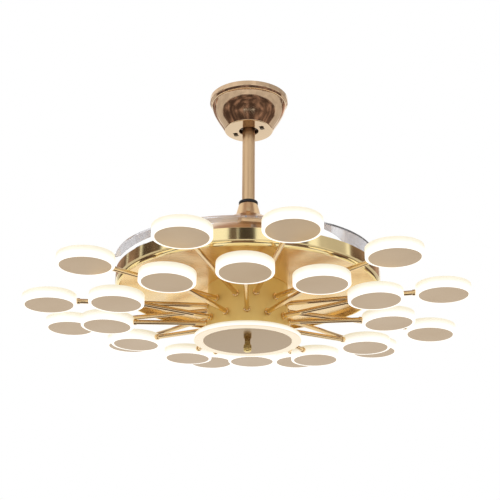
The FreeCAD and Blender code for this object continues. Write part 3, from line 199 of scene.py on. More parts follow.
# Rings of flags round the front: each ring's name, foot, top and shade at each heading
RING_HEADINGS = (-120, -80, -40, 0, 40, 80, 120)
RING_WIDTH = 40
RING_FLAGS = (
    ("low_flag", -1.89, -0.5, (0.15,) * len(RING_HEADINGS)),
    ("middle_flag", -0.5, 0.36, (0.62, 0.62, 0.66, 0.74, 0.66, 0.62, 0.62)),
    ("top_flag", 1.05, 1.7, (0.86, 0.86, 0.84, 0.78, 0.62, 0.5, 0.5)),
)
# How far the folds of a cloth swing its shade, and their tint: deep on a cloth darker than the pale shade
PALE_SHADE = 0.5
DARK_FOLDS = (2.6, (1.24, 0.82, 0.69))
PALE_FOLDS = (1.15, (1.02, 0.95, 0.92))
FOLD_STRETCH = (1, 1, 3.5)
# Where the folds turn from dark to plain and to light
FOLD_STEPS = (0.0, 0.42, 0.56, 0.72)
# Flat flags over and under the fan: their reach, height and shade
FLAT_FLAGS = ((1.05, 1.0, 0.34), (0.75, -1.6, 0.10))


def points_of(node):
    """Every corner of a node's mesh, at rest."""
    return np.array([corner.co for corner in frame["nodes"][node].data.vertices], float)


def extent(node):
    """A node's widest reach from the upright axis, its foot and its top."""
    spots = points_of(node)
    reach = np.hypot(spots[:, 0], spots[:, 1])
    return float(reach.max()), float(spots[:, 2].min()), float(spots[:, 2].max())


def solids(node):
    """The corners of each separate solid in a node."""
    spots = points_of(node)
    shared = np.unique(np.round(spots, WELD_DIGITS), axis=0, return_inverse=True)[1].ravel()
    parent = list(range(int(shared.max()) + 1))

    def root(key):
        while parent[key] != key:
            parent[key] = parent[parent[key]]
            key = parent[key]
        return key

    for face in frame["nodes"][node].data.polygons:
        keys = [root(int(shared[corner])) for corner in face.vertices]
        for key in keys[1:]:
            parent[root(key)] = root(keys[0])
    groups = {}
    for spot, key in zip(spots, shared):
        groups.setdefault(root(int(key)), []).append(spot)
    return [np.array(group) for group in groups.values()]


def principal(spots):
    """The middle of a solid and its own directions, longest first."""
    middle = (spots.min(0) + spots.max(0)) / 2
    directions = np.linalg.svd(spots - spots.mean(0), full_matrices=False)[2]
    return Vector(middle), [Vector(row) for row in directions]


def facing(middle, axis):
    """A place at a point, with Z along an axis."""
    return Matrix.Translation(middle) @ UP.rotation_difference(axis).to_matrix().to_4x4()


def disc_places(node):
    """Where each flat round solid of a node sits, with Z upwards along its axis."""
    places = []
    for spots in solids(node):
        middle, rows = principal(spots)
        axis = rows[-1] if rows[-1].z > 0 else -rows[-1]
        places.append(facing(middle, axis))
    return places


def rod_lines(node):
    """Each rod of a node as its inner end, its outward direction and its length."""
    lines = []
    for spots in solids(node):
        middle, rows = principal(spots)
        outward = rows[0] if rows[0].dot(Vector((middle.x, middle.y, 0))) > 0 else -rows[0]
        along = (spots - np.array(middle)) @ np.array(outward)
        lines.append((middle + outward * float(along.min()), outward, float(np.ptp(along))))
    return lines


def collar_places(node, lines):
    """Where each collar of a node sits on the rod that it is on, with Z along the rod."""
    places = []
    for spots in solids(node):
        middle = principal(spots)[0]
        start, outward, _ = min(lines, key=lambda line: (middle - line[0]).cross(line[1]).length)
        places.append(facing(start + outward * (middle - start).dot(outward), outward))
    return places


def sizes():
    """The sizes that a user may change."""
    return bpy.context.scene.fan_sizes


def colours():
    """The colours that a user may change."""
    return bpy.context.scene.fan_colours


def deselect():
    """Leave nothing selected, in object mode."""
    if bpy.context.object and bpy.context.object.mode != "OBJECT":
        bpy.ops.object.mode_set(mode="OBJECT")
    bpy.ops.object.select_all(action="DESELECT")


def activate(piece):
    """Make one piece the only one selected."""
    deselect()
    piece.select_set(True)
    bpy.context.view_layer.objects.active = piece


def pick_ring(piece, radius, height):
    """Select the edges of one ring of a turned piece, in edit mode."""
    bpy.ops.mesh.select_all(action="DESELECT")
    bpy.ops.mesh.select_mode(type="EDGE")
    bpy.ops.object.mode_set(mode="OBJECT")
    near = [abs(corner.co.z - height) < TOUCH and abs(corner.co.xy.length - radius) < TOUCH
            for corner in piece.data.vertices]
    for edge in piece.data.edges:
        edge.select = all(near[corner] for corner in edge.vertices)
    bpy.ops.object.mode_set(mode="EDIT")


def outline(rows, outside, foot, top, **more):
    """The rings of an outline, from where its radii and heights are counted."""
    origin = {"axis": 0.0, "outside": outside, "foot": foot, "top": top, **more}
    return [(origin[side] + reach * MM, origin[level] + rise * MM, rounding * MM)
            for side, level, reach, rise, rounding in rows]


def turned(name, rings, count, wall=0.0, caps=False, closed=False):
    """A shape turned about the upright axis: a circle extruded and resized from ring to ring.

    Each ring is its radius, its height and how far its corner is rounded. A wall gives a shell its
    thickness, caps close both ends, and a closed shape joins its last ring to its first.
    """
    deselect()
    radius, height = rings[0][:2]
    bpy.ops.mesh.primitive_circle_add(vertices=count, radius=radius)
    piece = bpy.context.object
    piece.name = piece.data.name = name
    bpy.ops.object.mode_set(mode="EDIT")
    bpy.ops.mesh.select_all(action="SELECT")
    bpy.ops.transform.translate(value=(0, 0, height))
    if caps:
        bpy.ops.mesh.edge_face_add()
        pick_ring(piece, radius, height)
    for next_radius, next_height, _ in rings[1:]:
        bpy.ops.mesh.extrude_edges_move(TRANSFORM_OT_translate={"value": (0, 0, next_height - height)})
        share = next_radius / radius
        bpy.ops.transform.resize(value=(share, share, 1), center_override=(0, 0, 0))
        radius, height = next_radius, next_height
    if caps:
        bpy.ops.mesh.edge_face_add()
    bpy.ops.mesh.select_all(action="SELECT")
    if closed:
        bpy.ops.mesh.remove_doubles(threshold=TOUCH)
    bpy.ops.mesh.normals_make_consistent(inside=False)
    for ring_radius, ring_height, rounding in rings:
        if rounding:
            pick_ring(piece, ring_radius, ring_height)
            bpy.ops.mesh.bevel(offset=rounding, segments=sizes().corner_steps, affect="EDGES")
    bpy.ops.object.mode_set(mode="OBJECT")
    if wall:
        thicken = piece.modifiers.new("wall", "SOLIDIFY")
        thicken.thickness = wall
        thicken.offset = -1
        bpy.ops.object.modifier_apply(modifier=thicken.name)
    settle(piece)
    return piece


def settle(piece):
    """Shade a piece smooth over its roundings, with its wide faces true."""
    activate(piece)
    bpy.ops.mesh.customdata_custom_splitnormals_clear()
    bpy.ops.object.shade_smooth_by_angle(angle=SMOOTH_ANGLE)
    even = piece.modifiers.new("even", "WEIGHTED_NORMAL")
    even.keep_sharp = True
    bpy.ops.object.modifier_apply(modifier=even.name)


def smooth_copy(node, name):
    """A copy of a node's own shape, with its doubled corners merged, shaded smooth."""
    piece = bpy.data.objects.new(name, frame["nodes"][node].data.copy())
    piece.data.name = name
    bpy.context.scene.collection.objects.link(piece)
    activate(piece)
    bpy.ops.mesh.customdata_custom_splitnormals_clear()
    bpy.ops.object.mode_set(mode="EDIT")
    bpy.ops.mesh.select_all(action="SELECT")
    bpy.ops.mesh.remove_doubles(threshold=TOUCH / 2)
    bpy.ops.object.mode_set(mode="OBJECT")
    bpy.ops.object.shade_smooth_by_angle(angle=SMOOTH_ANGLE)
    return piece


def spread(master, places, name):
    """Copies of one modelled shape at each place, joined as one piece."""
    copies = []
    for place in places:
        copy = bpy.data.objects.new(name, master.data.copy())
        bpy.context.scene.collection.objects.link(copy)
        copy.data.transform(place)
        copies.append(copy)
    bpy.data.objects.remove(master)
    deselect()
    for copy in copies:
        copy.select_set(True)
    bpy.context.view_layer.objects.active = copies[0]
    bpy.ops.object.join()
    copies[0].name = copies[0].data.name = name
    return copies[0]


def dress(piece, finish, body, node):
    """Give a piece its finish and its body, and let it stand for its node."""
    piece.data.materials.clear()
    piece.data.materials.append(finish)
    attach(piece, body)
    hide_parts(node)


class Signal:
    """One output of a node; arithmetic on it adds Math nodes."""

    def __init__(self, nodes, socket):
        self.nodes = nodes
        self.socket = socket

    def math(self, operation, first, second):
        """Work out two values with a Math node."""
        return self.nodes.node("ShaderNodeMath", 0, {"operation": operation}, {0: first, 1: second})

    def larger(self, other):
        """The larger of two values."""
        return self.math("MAXIMUM", self, other)

    def __add__(self, other):
        return self.math("ADD", self, other)

    def __sub__(self, other):
        return self.math("SUBTRACT", self, other)

    def __rsub__(self, other):
        return self.math("SUBTRACT", other, self)

    def __mul__(self, other):
        return self.math("MULTIPLY", self, other)

    __radd__ = __add__
    __rmul__ = __mul__


class Nodes:
    """The nodes of a material or of the world."""

    def __init__(self, owner):
        owner.use_nodes = True
        self.tree = owner.node_tree
        self.tree.nodes.clear()

    def node(self, kind, output, settings, sockets):
        """Add a node, set its settings, then its sockets, and give one of its outputs, if it has any."""
        made = self.tree.nodes.new(kind)
        for key, value in settings.items():
            if key == "stops":
                while len(made.color_ramp.elements) < len(value):
                    made.color_ramp.elements.new(0)
                for element, (position, colour) in zip(made.color_ramp.elements, value):
                    element.position = position
                    element.color = (*colour, 1)
            else:
                setattr(made, key, value)
        for key, value in sockets.items():
            if isinstance(value, Signal):
                self.tree.links.new(value.socket, made.inputs[key])
            else:
                made.inputs[key].default_value = value
        return Signal(self, made.outputs[output]) if made.outputs else None


class Finish(Nodes):
    """A material made of nodes."""

    def __init__(self, name):
        self.material = bpy.data.materials.new(name + FINISH_END)
        super().__init__(self.material)

    def spots(self):
        """The surface's own coordinates."""
        return self.node("ShaderNodeTexCoord", "Object", {}, {})

    def noise(self, scale, detail, vector=None):
        """A soft cloud of values about one half."""
        return self.node("ShaderNodeTexNoise", "Fac", {}, {
            "Vector": vector or self.spots(), "Scale": scale, "Detail": detail})

    def blend(self, share, first, second):
        """One colour fading into another."""
        return self.node("ShaderNodeMix", MIX_RESULT, {"data_type": "RGBA"}, {
            MIX_SHARE: share, MIX_FIRST: first, MIX_SECOND: second})

    def tinted(self, share, colour, low, high):
        """A colour that goes from a low to a high share of itself."""
        return self.blend(share, solid(colour, low), solid(colour, high))

    def ramp(self, share, steps, shades):
        """A colour that goes from shade to shade at its steps."""
        return self.node("ShaderNodeValToRGB", "Color", {"stops": list(zip(steps, shades))}, {"Fac": share})

    def bump(self, height, strength, distance):
        """A surface raised by a height."""
        return self.node("ShaderNodeBump", 0, {}, {
            "Height": height, "Strength": strength, "Distance": distance})

    def surface(self, **sockets):
        """The material, with a shader whose sockets are given by their names in small letters."""
        named = {key.replace("_", " ").title().replace("Ior", "IOR"): value
                 for key, value in sockets.items()}
        return self.shown(self.node("ShaderNodeBsdfPrincipled", 0, {}, named))

    def shown(self, shader):
        """The material, with a shader on its surface."""
        self.node("ShaderNodeOutputMaterial", None, {}, {"Surface": shader})
        return self.material


def solid(colour, share):
    """A colour with its fourth value, darker or lighter by a share."""
    return (*(value * share for value in colour[:3]), 1.0)


def swung(cloud, middle, swing):
    """A value that swings about its middle with a cloud of values about one half."""
    return (cloud - 0.5) * swing + middle


def plated(name, colour, roughness, cloud_share, grain_share, metal_share=1.0):
    """Plated metal: slow clouds in its tint and gloss, and a satin grain where it isn't polished."""
    finish = Finish(name)
    cloud = finish.noise(scale=14.0, detail=3.0)
    tint = finish.tinted(cloud, colour, low=1 - cloud_share, high=1 + cloud_share / 2)
    ripple = finish.noise(scale=45.0, detail=1.0)
    grain = finish.noise(scale=2200.0, detail=2.0)
    height = ripple * (1 - grain_share) + grain * grain_share
    return finish.surface(base_color=tint, metallic=metal_share,
                          roughness=swung(cloud, roughness, swing=roughness / 2),
                          normal=finish.bump(height, strength=0.05, distance=0.0002))


def moulded(name, colour, roughness, scale, lift):
    """Moulded plastic or rubber with a fine spark texture."""
    finish = Finish(name)
    spark = finish.noise(scale, detail=2.0)
    cloud = finish.noise(scale=22.0, detail=2.0)
    tint = finish.tinted(cloud, colour, low=0.86, high=1.06)
    return finish.surface(base_color=tint, roughness=swung(cloud, roughness, swing=0.12),
                          normal=finish.bump(spark, strength=lift, distance=0.0003))


def opal(name, colour, edge, foot, strength):
    """Opal acrylic lit from inside: bright on its side, dimmer and warmer up to its upper edge."""
    finish = Finish(name)
    halfway = tuple((1 - GLOW_EDGE_SHARE) * near + GLOW_EDGE_SHARE * far for near, far in zip(colour, edge))
    rise = finish.node("ShaderNodeAttribute", "Fac", {"attribute_name": "rise"}, {})
    cloud = finish.noise(scale=60.0, detail=2.0)
    glow = finish.ramp(rise, GLOW_STEPS, (foot, foot, colour, colour, halfway, edge))
    skin = finish.tinted(cloud, colour, low=0.34, high=0.38)
    return finish.surface(base_color=skin, roughness=swung(cloud, middle=0.3, swing=0.1),
                          emission_color=glow, emission_strength=strength)


def clear(name, colour):
    """Clear acrylic with faint streaks that run along the folded blade: a painted reflection in its tint,
    with a matching bump and gloss.
    """
    finish = Finish(name)
    plan = finish.node("ShaderNodeVectorMath", 0, {"operation": "MULTIPLY"}, {
        0: finish.spots(), 1: (1, 1, 0)})
    reach = finish.node("ShaderNodeVectorMath", "Value", {"operation": "LENGTH"}, {0: plan})
    lane = finish.node("ShaderNodeCombineXYZ", 0, {}, {0: reach * REFLECTION_STREAKS_PER_METRE})
    streak_relief_and_reflection = finish.noise(scale=1.0, detail=2.0, vector=lane)
    dull = solid(colour, share=0.80)[:3]
    bright = solid(colour, share=1.06)[:3]
    # Painted reflection: the streaks turn the blade's tint dull and bright
    tint = finish.ramp(streak_relief_and_reflection, PAINTED_REFLECTION_STEPS, (dull, colour, colour, bright))
    return finish.surface(base_color=tint, roughness=streak_relief_and_reflection * 0.1 + 0.03, transmission_weight=0.9,
                          ior=1.49, normal=finish.bump(streak_relief_and_reflection, strength=0.04, distance=0.0003))


def wound(name, colour):
    """Enamelled copper wire, laid side by side."""
    finish = Finish(name)
    lay = finish.node("ShaderNodeTexWave", "Fac", {"bands_direction": "DIAGONAL"}, {
        "Vector": finish.spots(), "Scale": 320.0, "Distortion": 0.6})
    tint = finish.tinted(lay, colour, low=0.6, high=1.05)
    return finish.surface(base_color=tint, metallic=0.8, roughness=0.38 - lay * 0.1,
                          normal=finish.bump(lay, strength=0.6, distance=0.0006))


def make_finishes():
    """Every finish of the fan, by the record's slot and by piece."""
    hue = colours()
    for name, (setting, *values) in PLATINGS.items():
        plated(name, getattr(hue, setting), *values)
    for name, values in METALS.items():
        plated(name, *values)
    for name, values in MOULDINGS.items():
        moulded(name, *values)
    moulded("black_rubber", hue.rubber, *RUBBER_MOULDING)
    wound("winding_copper", COPPER)
    opal("opal_acrylic", hue.lamp_glow, hue.lamp_edge, hue.lamp_glow, hue.lamp_strength)
    opal("centre_acrylic", hue.lamp_glow, hue.lamp_edge, hue.lamp_foot, hue.lamp_strength)
    clear("clear_acrylic", hue.acrylic)


def finish_named(name):
    """A finish by its name, made with all the others at the first call."""
    if name + FINISH_END not in bpy.data.materials:
        make_finishes()
    return bpy.data.materials[name + FINISH_END]


class FanSizes(bpy.types.PropertyGroup):
    """How finely the pieces are modelled, and the sizes that the frame doesn't give."""

    ring_steps: IntProperty(name="Ring steps", description="Corners round a wide turned piece", default=160,
                            min=48, max=256)
    lamp_steps: IntProperty(name="Lamp steps", description="Corners round a ring lamp", default=72, min=32,
                            max=128)
    rod_steps: IntProperty(name="Rod steps", description="Corners round a lamp rod", default=20, min=12,
                           max=48)
    corner_steps: IntProperty(name="Corner steps", description="Steps across a rounded corner", default=4,
                              min=2, max=8)
    canopy_wall: FloatProperty(name="Canopy wall", description="Thickness of the canopy's sheet",
                               default=1.2 * MM, unit="LENGTH")
    slot_width: FloatProperty(name="Slot width", description="Width of the canopy's screw slots",
                              default=6.4 * MM, unit="LENGTH")
    slot_length: FloatProperty(name="Slot length", description="Length of the canopy's screw slots",
                               default=15 * MM, unit="LENGTH")
    slot_cut: FloatProperty(name="Slot cut", description="Height of the tool that cuts a screw slot",
                            default=12 * MM, unit="LENGTH")
    neck_wall: FloatProperty(name="Neck wall", description="Thickness of the neck's sheet", default=1.2 * MM,
                             unit="LENGTH")
    cover_wall: FloatProperty(name="Cover wall", description="Thickness of the motor cover's sheet",
                              default=1.4 * MM, unit="LENGTH")
    tube_wall: FloatProperty(name="Tube wall", description="Thickness of the downrod and hub walls",
                             default=1.5 * MM, unit="LENGTH")
    rod_radius: FloatProperty(name="Rod radius", description="Radius of a lamp rod", default=4.5 * MM,
                              unit="LENGTH")
    ferrule_length: FloatProperty(name="Ferrule length", description="Length of the collar on a rod's end",
                                  default=6 * MM, unit="LENGTH")
    nut_radius: FloatProperty(name="Nut radius", description="Reach of a rod nut's corners", default=7 * MM,
                              unit="LENGTH")
    nut_height: FloatProperty(name="Nut height", description="Height of a rod nut", default=3.5 * MM,
                              unit="LENGTH")
    nut_edge: FloatProperty(name="Nut edge", description="Bevel of a rod nut's edges", default=0.45 * MM,
                            unit="LENGTH")
    lamp_radius: FloatProperty(name="Lamp radius", description="Radius of a ring lamp", default=50 * MM,
                               unit="LENGTH")
    lamp_height: FloatProperty(name="Lamp height", description="Height of a ring lamp", default=20 * MM,
                               unit="LENGTH")
    plate_radius: FloatProperty(name="Plate radius", description="Radius of the plate under a ring lamp",
                                default=44.5 * MM, unit="LENGTH")
    plate_thickness: FloatProperty(name="Plate thickness", description="Thickness of a ring lamp's plate",
                                   default=2 * MM, unit="LENGTH")


class FanColours(bpy.types.PropertyGroup):
    """The colours of the fan's finishes."""

    gold: FloatVectorProperty(name="Polished gold", description="Plate on the rods and fittings",
                              default=(0.84, 0.62, 0.34), subtype="COLOR")
    drum_gold: FloatVectorProperty(name="Drum gold", description="Bright plate on the drum band",
                                   default=(1.0, 0.83, 0.44), subtype="COLOR")
    hub_gold: FloatVectorProperty(name="Hub gold", description="Deeper satin plate on the hub and finial",
                                  default=(1.0, 0.76, 0.29), subtype="COLOR")
    # Painted light: the base plate's peach colour is raised to full red for the lamps' glow on it
    mirror_gold: FloatVectorProperty(name="Mirror gold", description="Peach mirror on the base plate",
                                     default=(1.0, 0.75, 0.40), subtype="COLOR")
    rose_gold: FloatVectorProperty(name="Rose gold", description="Plate on the canopy",
                                   default=(0.81, 0.61, 0.40), subtype="COLOR")
    cover_gold: FloatVectorProperty(name="Cover gold", description="Satin plate on the neck and motor cover",
                                    default=(0.89, 0.63, 0.355), subtype="COLOR")
    rod_gold: FloatVectorProperty(name="Downrod", description="Satin plate on the downrod",
                                  default=(0.80, 0.57, 0.335), subtype="COLOR")
    champagne: FloatVectorProperty(name="Champagne", description="Satin plates under the lamps",
                                   default=(0.61, 0.455, 0.29), subtype="COLOR")
    centre_champagne: FloatVectorProperty(name="Centre champagne", description="Mirror plate under the hub",
                                          default=(0.40, 0.266, 0.124), subtype="COLOR")
    lamp_glow: FloatVectorProperty(name="Lamp glow", description="Light through a lamp's side",
                                   default=(0.95, 0.91, 0.84), subtype="COLOR")
    lamp_edge: FloatVectorProperty(name="Lamp edge", description="Light at a lamp's upper edge",
                                   default=(0.62, 0.56, 0.39), subtype="COLOR")
    lamp_foot: FloatVectorProperty(name="Lamp foot", description="Light at the rim round the centre plate",
                                   default=(0.66, 0.54, 0.37), subtype="COLOR")
    lamp_strength: FloatProperty(name="Lamp strength", description="How strongly the lamps glow",
                                 default=1.0, subtype="FACTOR")
    acrylic: FloatVectorProperty(name="Clear acrylic", description="Tint of the blades",
                                 default=(0.90, 0.875, 0.89), subtype="COLOR")
    rubber: FloatVectorProperty(name="Rubber", description="Ring at the downrod's foot",
                                default=(0.012, 0.012, 0.013), subtype="COLOR")


class FanStage(bpy.types.PropertyGroup):
    """The camera, floor and light round the fan."""

    lens: FloatProperty(name="Lens", description="Focal length on a 36 mm wide sensor", default=78.05,
                        unit="CAMERA")
    eye: FloatVectorProperty(name="Eye", description="Where the camera stands",
                             default=(0.0, -1.9724, -1.1049), subtype="TRANSLATION")
    tilt: FloatProperty(name="Tilt", description="How far the camera looks up", default=math.radians(21.39),
                        subtype="ANGLE")
    turn: FloatProperty(name="Turn", description="How far the camera looks to the right",
                        default=math.radians(0.109), subtype="ANGLE")
    roll: FloatProperty(name="Roll", description="How far the camera leans to the left",
                        default=math.radians(0.3), subtype="ANGLE")
    floor_level: FloatProperty(name="Floor", description="Height of the floor, with the ceiling at zero",
                               default=-1.9, unit="LENGTH")
    fill: FloatProperty(name="Fill", description="Strength of the even light from all round", default=0.62,
                        subtype="FACTOR")
    key: FloatProperty(name="Key", description="Power of the left-hand soft box", default=26.0,
                       unit="POWER")


class FAN_OT_canopy(bpy.types.Operator):
    """Model the spun canopy with its screw slots"""

    bl_idname = "fan.canopy"
    bl_label = "Canopy"

    def execute(self, context):
        size = sizes()
        radius, foot, top = extent("canopy")
        rings = outline(CANOPY_RINGS, radius, foot, top)
        piece = turned("canopy_cup", rings, size.ring_steps, wall=size.canopy_wall)
        for place in disc_places("canopy_screws"):
            spot = place.translation
            turn = math.atan2(spot.y, spot.x)
            deselect()
            bpy.ops.mesh.primitive_cube_add(size=1)
            cutter = bpy.context.object
            bpy.ops.object.mode_set(mode="EDIT")
            bpy.ops.mesh.select_all(action="SELECT")
            bpy.ops.transform.resize(value=(size.slot_width, size.slot_length, size.slot_cut))
            bpy.ops.object.mode_set(mode="OBJECT")
            cutter.data.transform(Matrix.Translation((spot.x, spot.y, foot)) @ Matrix.Rotation(turn, 4, "Z"))
            activate(piece)
            cut = piece.modifiers.new("slot", "BOOLEAN")
            cut.operation = "DIFFERENCE"
            cut.object = cutter
            bpy.ops.object.modifier_apply(modifier=cut.name)
            bpy.data.objects.remove(cutter)
        settle(piece)
        dress(piece, finish_named("rose_gold"), "ceiling_mount", "canopy")
        return {"FINISHED"}


class FAN_OT_downrod(bpy.types.Operator):
    """Model the downrod, its rubber ring and the neck cover"""

    bl_idname = "fan.downrod"
    bl_label = "Downrod and neck"

    def execute(self, context):
        size = sizes()
        rod, foot, top = extent("downrod")
        rings = outline(DOWNROD_RINGS, rod, foot, top)
        tube = turned("downrod_tube", rings, size.lamp_steps, wall=size.tube_wall)
        dress(tube, finish_named("rod_gold"), "hanging_frame", "downrod")
        rings = outline(RUBBER_RINGS, *extent("rubber_ring"), rod=rod)
        ring = turned("rubber_collar", rings, size.lamp_steps, closed=True)
        dress(ring, finish_named("black_rubber"), "hanging_frame", "rubber_ring")
        rings = outline(NECK_RINGS, *extent("neck_cover"), rod=rod)
        neck = turned("neck_cone", rings, size.lamp_steps, wall=size.neck_wall)
        dress(neck, finish_named("cover_gold"), "hanging_frame", "neck_cover")
        return {"FINISHED"}


class FAN_OT_motor_cover(bpy.types.Operator):
    """Model the flared cover over the motor"""

    bl_idname = "fan.motor_cover"
    bl_label = "Motor cover"

    def execute(self, context):
        size = sizes()
        outside, foot, top = extent("motor_cover")
        rings = outline(COVER_RINGS, outside, foot, top, flange=foot + size.cover_wall)
        cover = turned("cover_flare", rings, size.ring_steps, wall=size.cover_wall)
        dress(cover, finish_named("cover_gold"), "rotor", "motor_cover")
        return {"FINISHED"}


class FAN_OT_drum(bpy.types.Operator):
    """Model the polished drum band with its rolled rim"""

    bl_idname = "fan.drum"
    bl_label = "Drum band"

    def execute(self, context):
        rings = outline(DRUM_RINGS, *extent("drum_band"))
        band = turned("drum_hoop", rings, sizes().ring_steps, closed=True)
        dress(band, finish_named("drum_gold"), "hanging_frame", "drum_band")
        return {"FINISHED"}


class FAN_OT_hub(bpy.types.Operator):
    """Model the hub cylinder that carries the lamp rods"""

    bl_idname = "fan.hub"
    bl_label = "Hub"

    def execute(self, context):
        size = sizes()
        rings = outline(HUB_RINGS, *extent("hub"))
        hub = turned("hub_can", rings, size.ring_steps, wall=size.tube_wall)
        dress(hub, finish_named("hub_gold"), "hanging_frame", "hub")
        return {"FINISHED"}


class FAN_OT_rods(bpy.types.Operator):
    """Model the two rows of lamp rods with their nuts and ferrules"""

    bl_idname = "fan.rods"
    bl_label = "Lamp rods"

    def execute(self, context):
        size = sizes()
        gold = finish_named("polished_gold")
        lines = []
        for row in ("outer_rods", "inner_rods"):
            row_lines = rod_lines(row)
            lines += row_lines
            rings = outline(ROD_RINGS, size.rod_radius, 0, row_lines[0][2])
            master = turned("rod", rings, size.rod_steps, caps=True)
            places = [facing(start, outward) for start, outward, _ in row_lines]
            rods = spread(master, places, row + "_polished")
            dress(rods, gold, "hanging_frame", row)
        half = size.ferrule_length / 2
        rings = outline(FERRULE_RINGS, size.rod_radius, -half, half, rod=size.rod_radius)
        master = turned("ferrule", rings, size.rod_steps, closed=True)
        ferrules = spread(master, collar_places("lamp_ferrules", lines), "ferrule_collars")
        dress(ferrules, gold, "hanging_frame", "lamp_ferrules")
        deselect()
        bpy.ops.mesh.primitive_cylinder_add(vertices=6, radius=size.nut_radius, depth=size.nut_height)
        nut = bpy.context.object
        bpy.ops.object.mode_set(mode="EDIT")
        bpy.ops.mesh.select_all(action="SELECT")
        bpy.ops.mesh.bevel(offset=size.nut_edge, segments=2, affect="EDGES")
        bpy.ops.object.mode_set(mode="OBJECT")
        bpy.ops.object.shade_smooth_by_angle(angle=SMOOTH_ANGLE)
        nuts = spread(nut, collar_places("rod_nuts", lines), "rod_hex_nuts")
        dress(nuts, gold, "hanging_frame", "rod_nuts")
        return {"FINISHED"}


def lamp_rise(piece, foot, top):
    """Write how far each corner of a lamp is up its side, from foot to top."""
    rise = piece.data.attributes.new("rise", "FLOAT", "POINT")
    for value, corner in zip(rise.data, piece.data.vertices):
        value.value = (corner.co.z - foot) / (top - foot)


class FAN_OT_lamps(bpy.types.Operator):
    """Model the ring lamps: an opal cup closed by a satin plate"""

    bl_idname = "fan.lamps"
    bl_label = "Ring lamps"

    def execute(self, context):
        size = sizes()
        places = disc_places("lamp_plates")
        half = size.plate_thickness / 2
        top = size.lamp_height - half
        rings = outline(CUP_RINGS, size.lamp_radius, -half, top, plate=size.plate_radius)
        master = turned("cup", rings, size.lamp_steps, caps=True)
        lamp_rise(master, -half, top)
        cups = spread(master, places, "lamp_cups")
        dress(cups, finish_named("opal_acrylic"), "hanging_frame", "lamp_diffusers")
        rings = outline(PLATE_RINGS, size.plate_radius, -half, half)
        master = turned("plate", rings, size.lamp_steps, caps=True)
        plates = spread(master, places, "lamp_covers")
        dress(plates, finish_named("champagne_plate"), "hanging_frame", "lamp_plates")
        return {"FINISHED"}


class FAN_OT_centre_lamp(bpy.types.Operator):
    """Model the wide lamp under the hub, its mirror plate and the finial"""

    bl_idname = "fan.centre_lamp"
    bl_label = "Centre lamp"

    def execute(self, context):
        size = sizes()
        radius, foot, top = extent("centre_diffuser")
        plate_radius, _, plate_top = extent("centre_plate")
        rings = outline(CENTRE_CUP_RINGS, radius, foot, top, plate=plate_radius)
        disc = turned("centre_cup", rings, size.ring_steps, caps=True)
        lamp_rise(disc, foot, top)
        dress(disc, finish_named("centre_acrylic"), "hanging_frame", "centre_diffuser")
        flat = plate_radius * CENTRE_FLAT_SHARE
        rings = outline(CENTRE_PLATE_RINGS, plate_radius, foot, plate_top, flat=flat)
        plate = turned("centre_mirror", rings, size.ring_steps, caps=True)
        dress(plate, finish_named("centre_champagne"), "hanging_frame", "centre_plate")
        rings = outline(FINIAL_RINGS, *extent("finial"))
        finial = turned("finial_knob", rings, size.rod_steps * 2, caps=True)
        dress(finial, finish_named("finial_gold"), "hanging_frame", "finial")
        return {"FINISHED"}


class FAN_OT_blades(bpy.types.Operator):
    """Model the clear folding blades"""

    bl_idname = "fan.blades"
    bl_label = "Blades"

    def execute(self, context):
        for number in BLADE_NUMBERS:
            panel = smooth_copy(f"blade_{number}_panel", f"blade_{number}_crescent")
            dress(panel, finish_named("clear_acrylic"), f"blade_{number}",
                  f"blade_{number}_panel")
        return {"FINISHED"}


class FAN_OT_workings(bpy.types.Operator):
    """Give every remaining part of the frame its finish"""

    bl_idname = "fan.workings"
    bl_label = "Workings"

    def execute(self, context):
        for row in frame["record"]["subparts"]:
            node = frame["nodes"][row["node"]]
            node.data.materials.clear()
            node.data.materials.append(finish_named(SPECIAL_FINISHES.get(row["node"], row["material_slot"])))
        return {"FINISHED"}


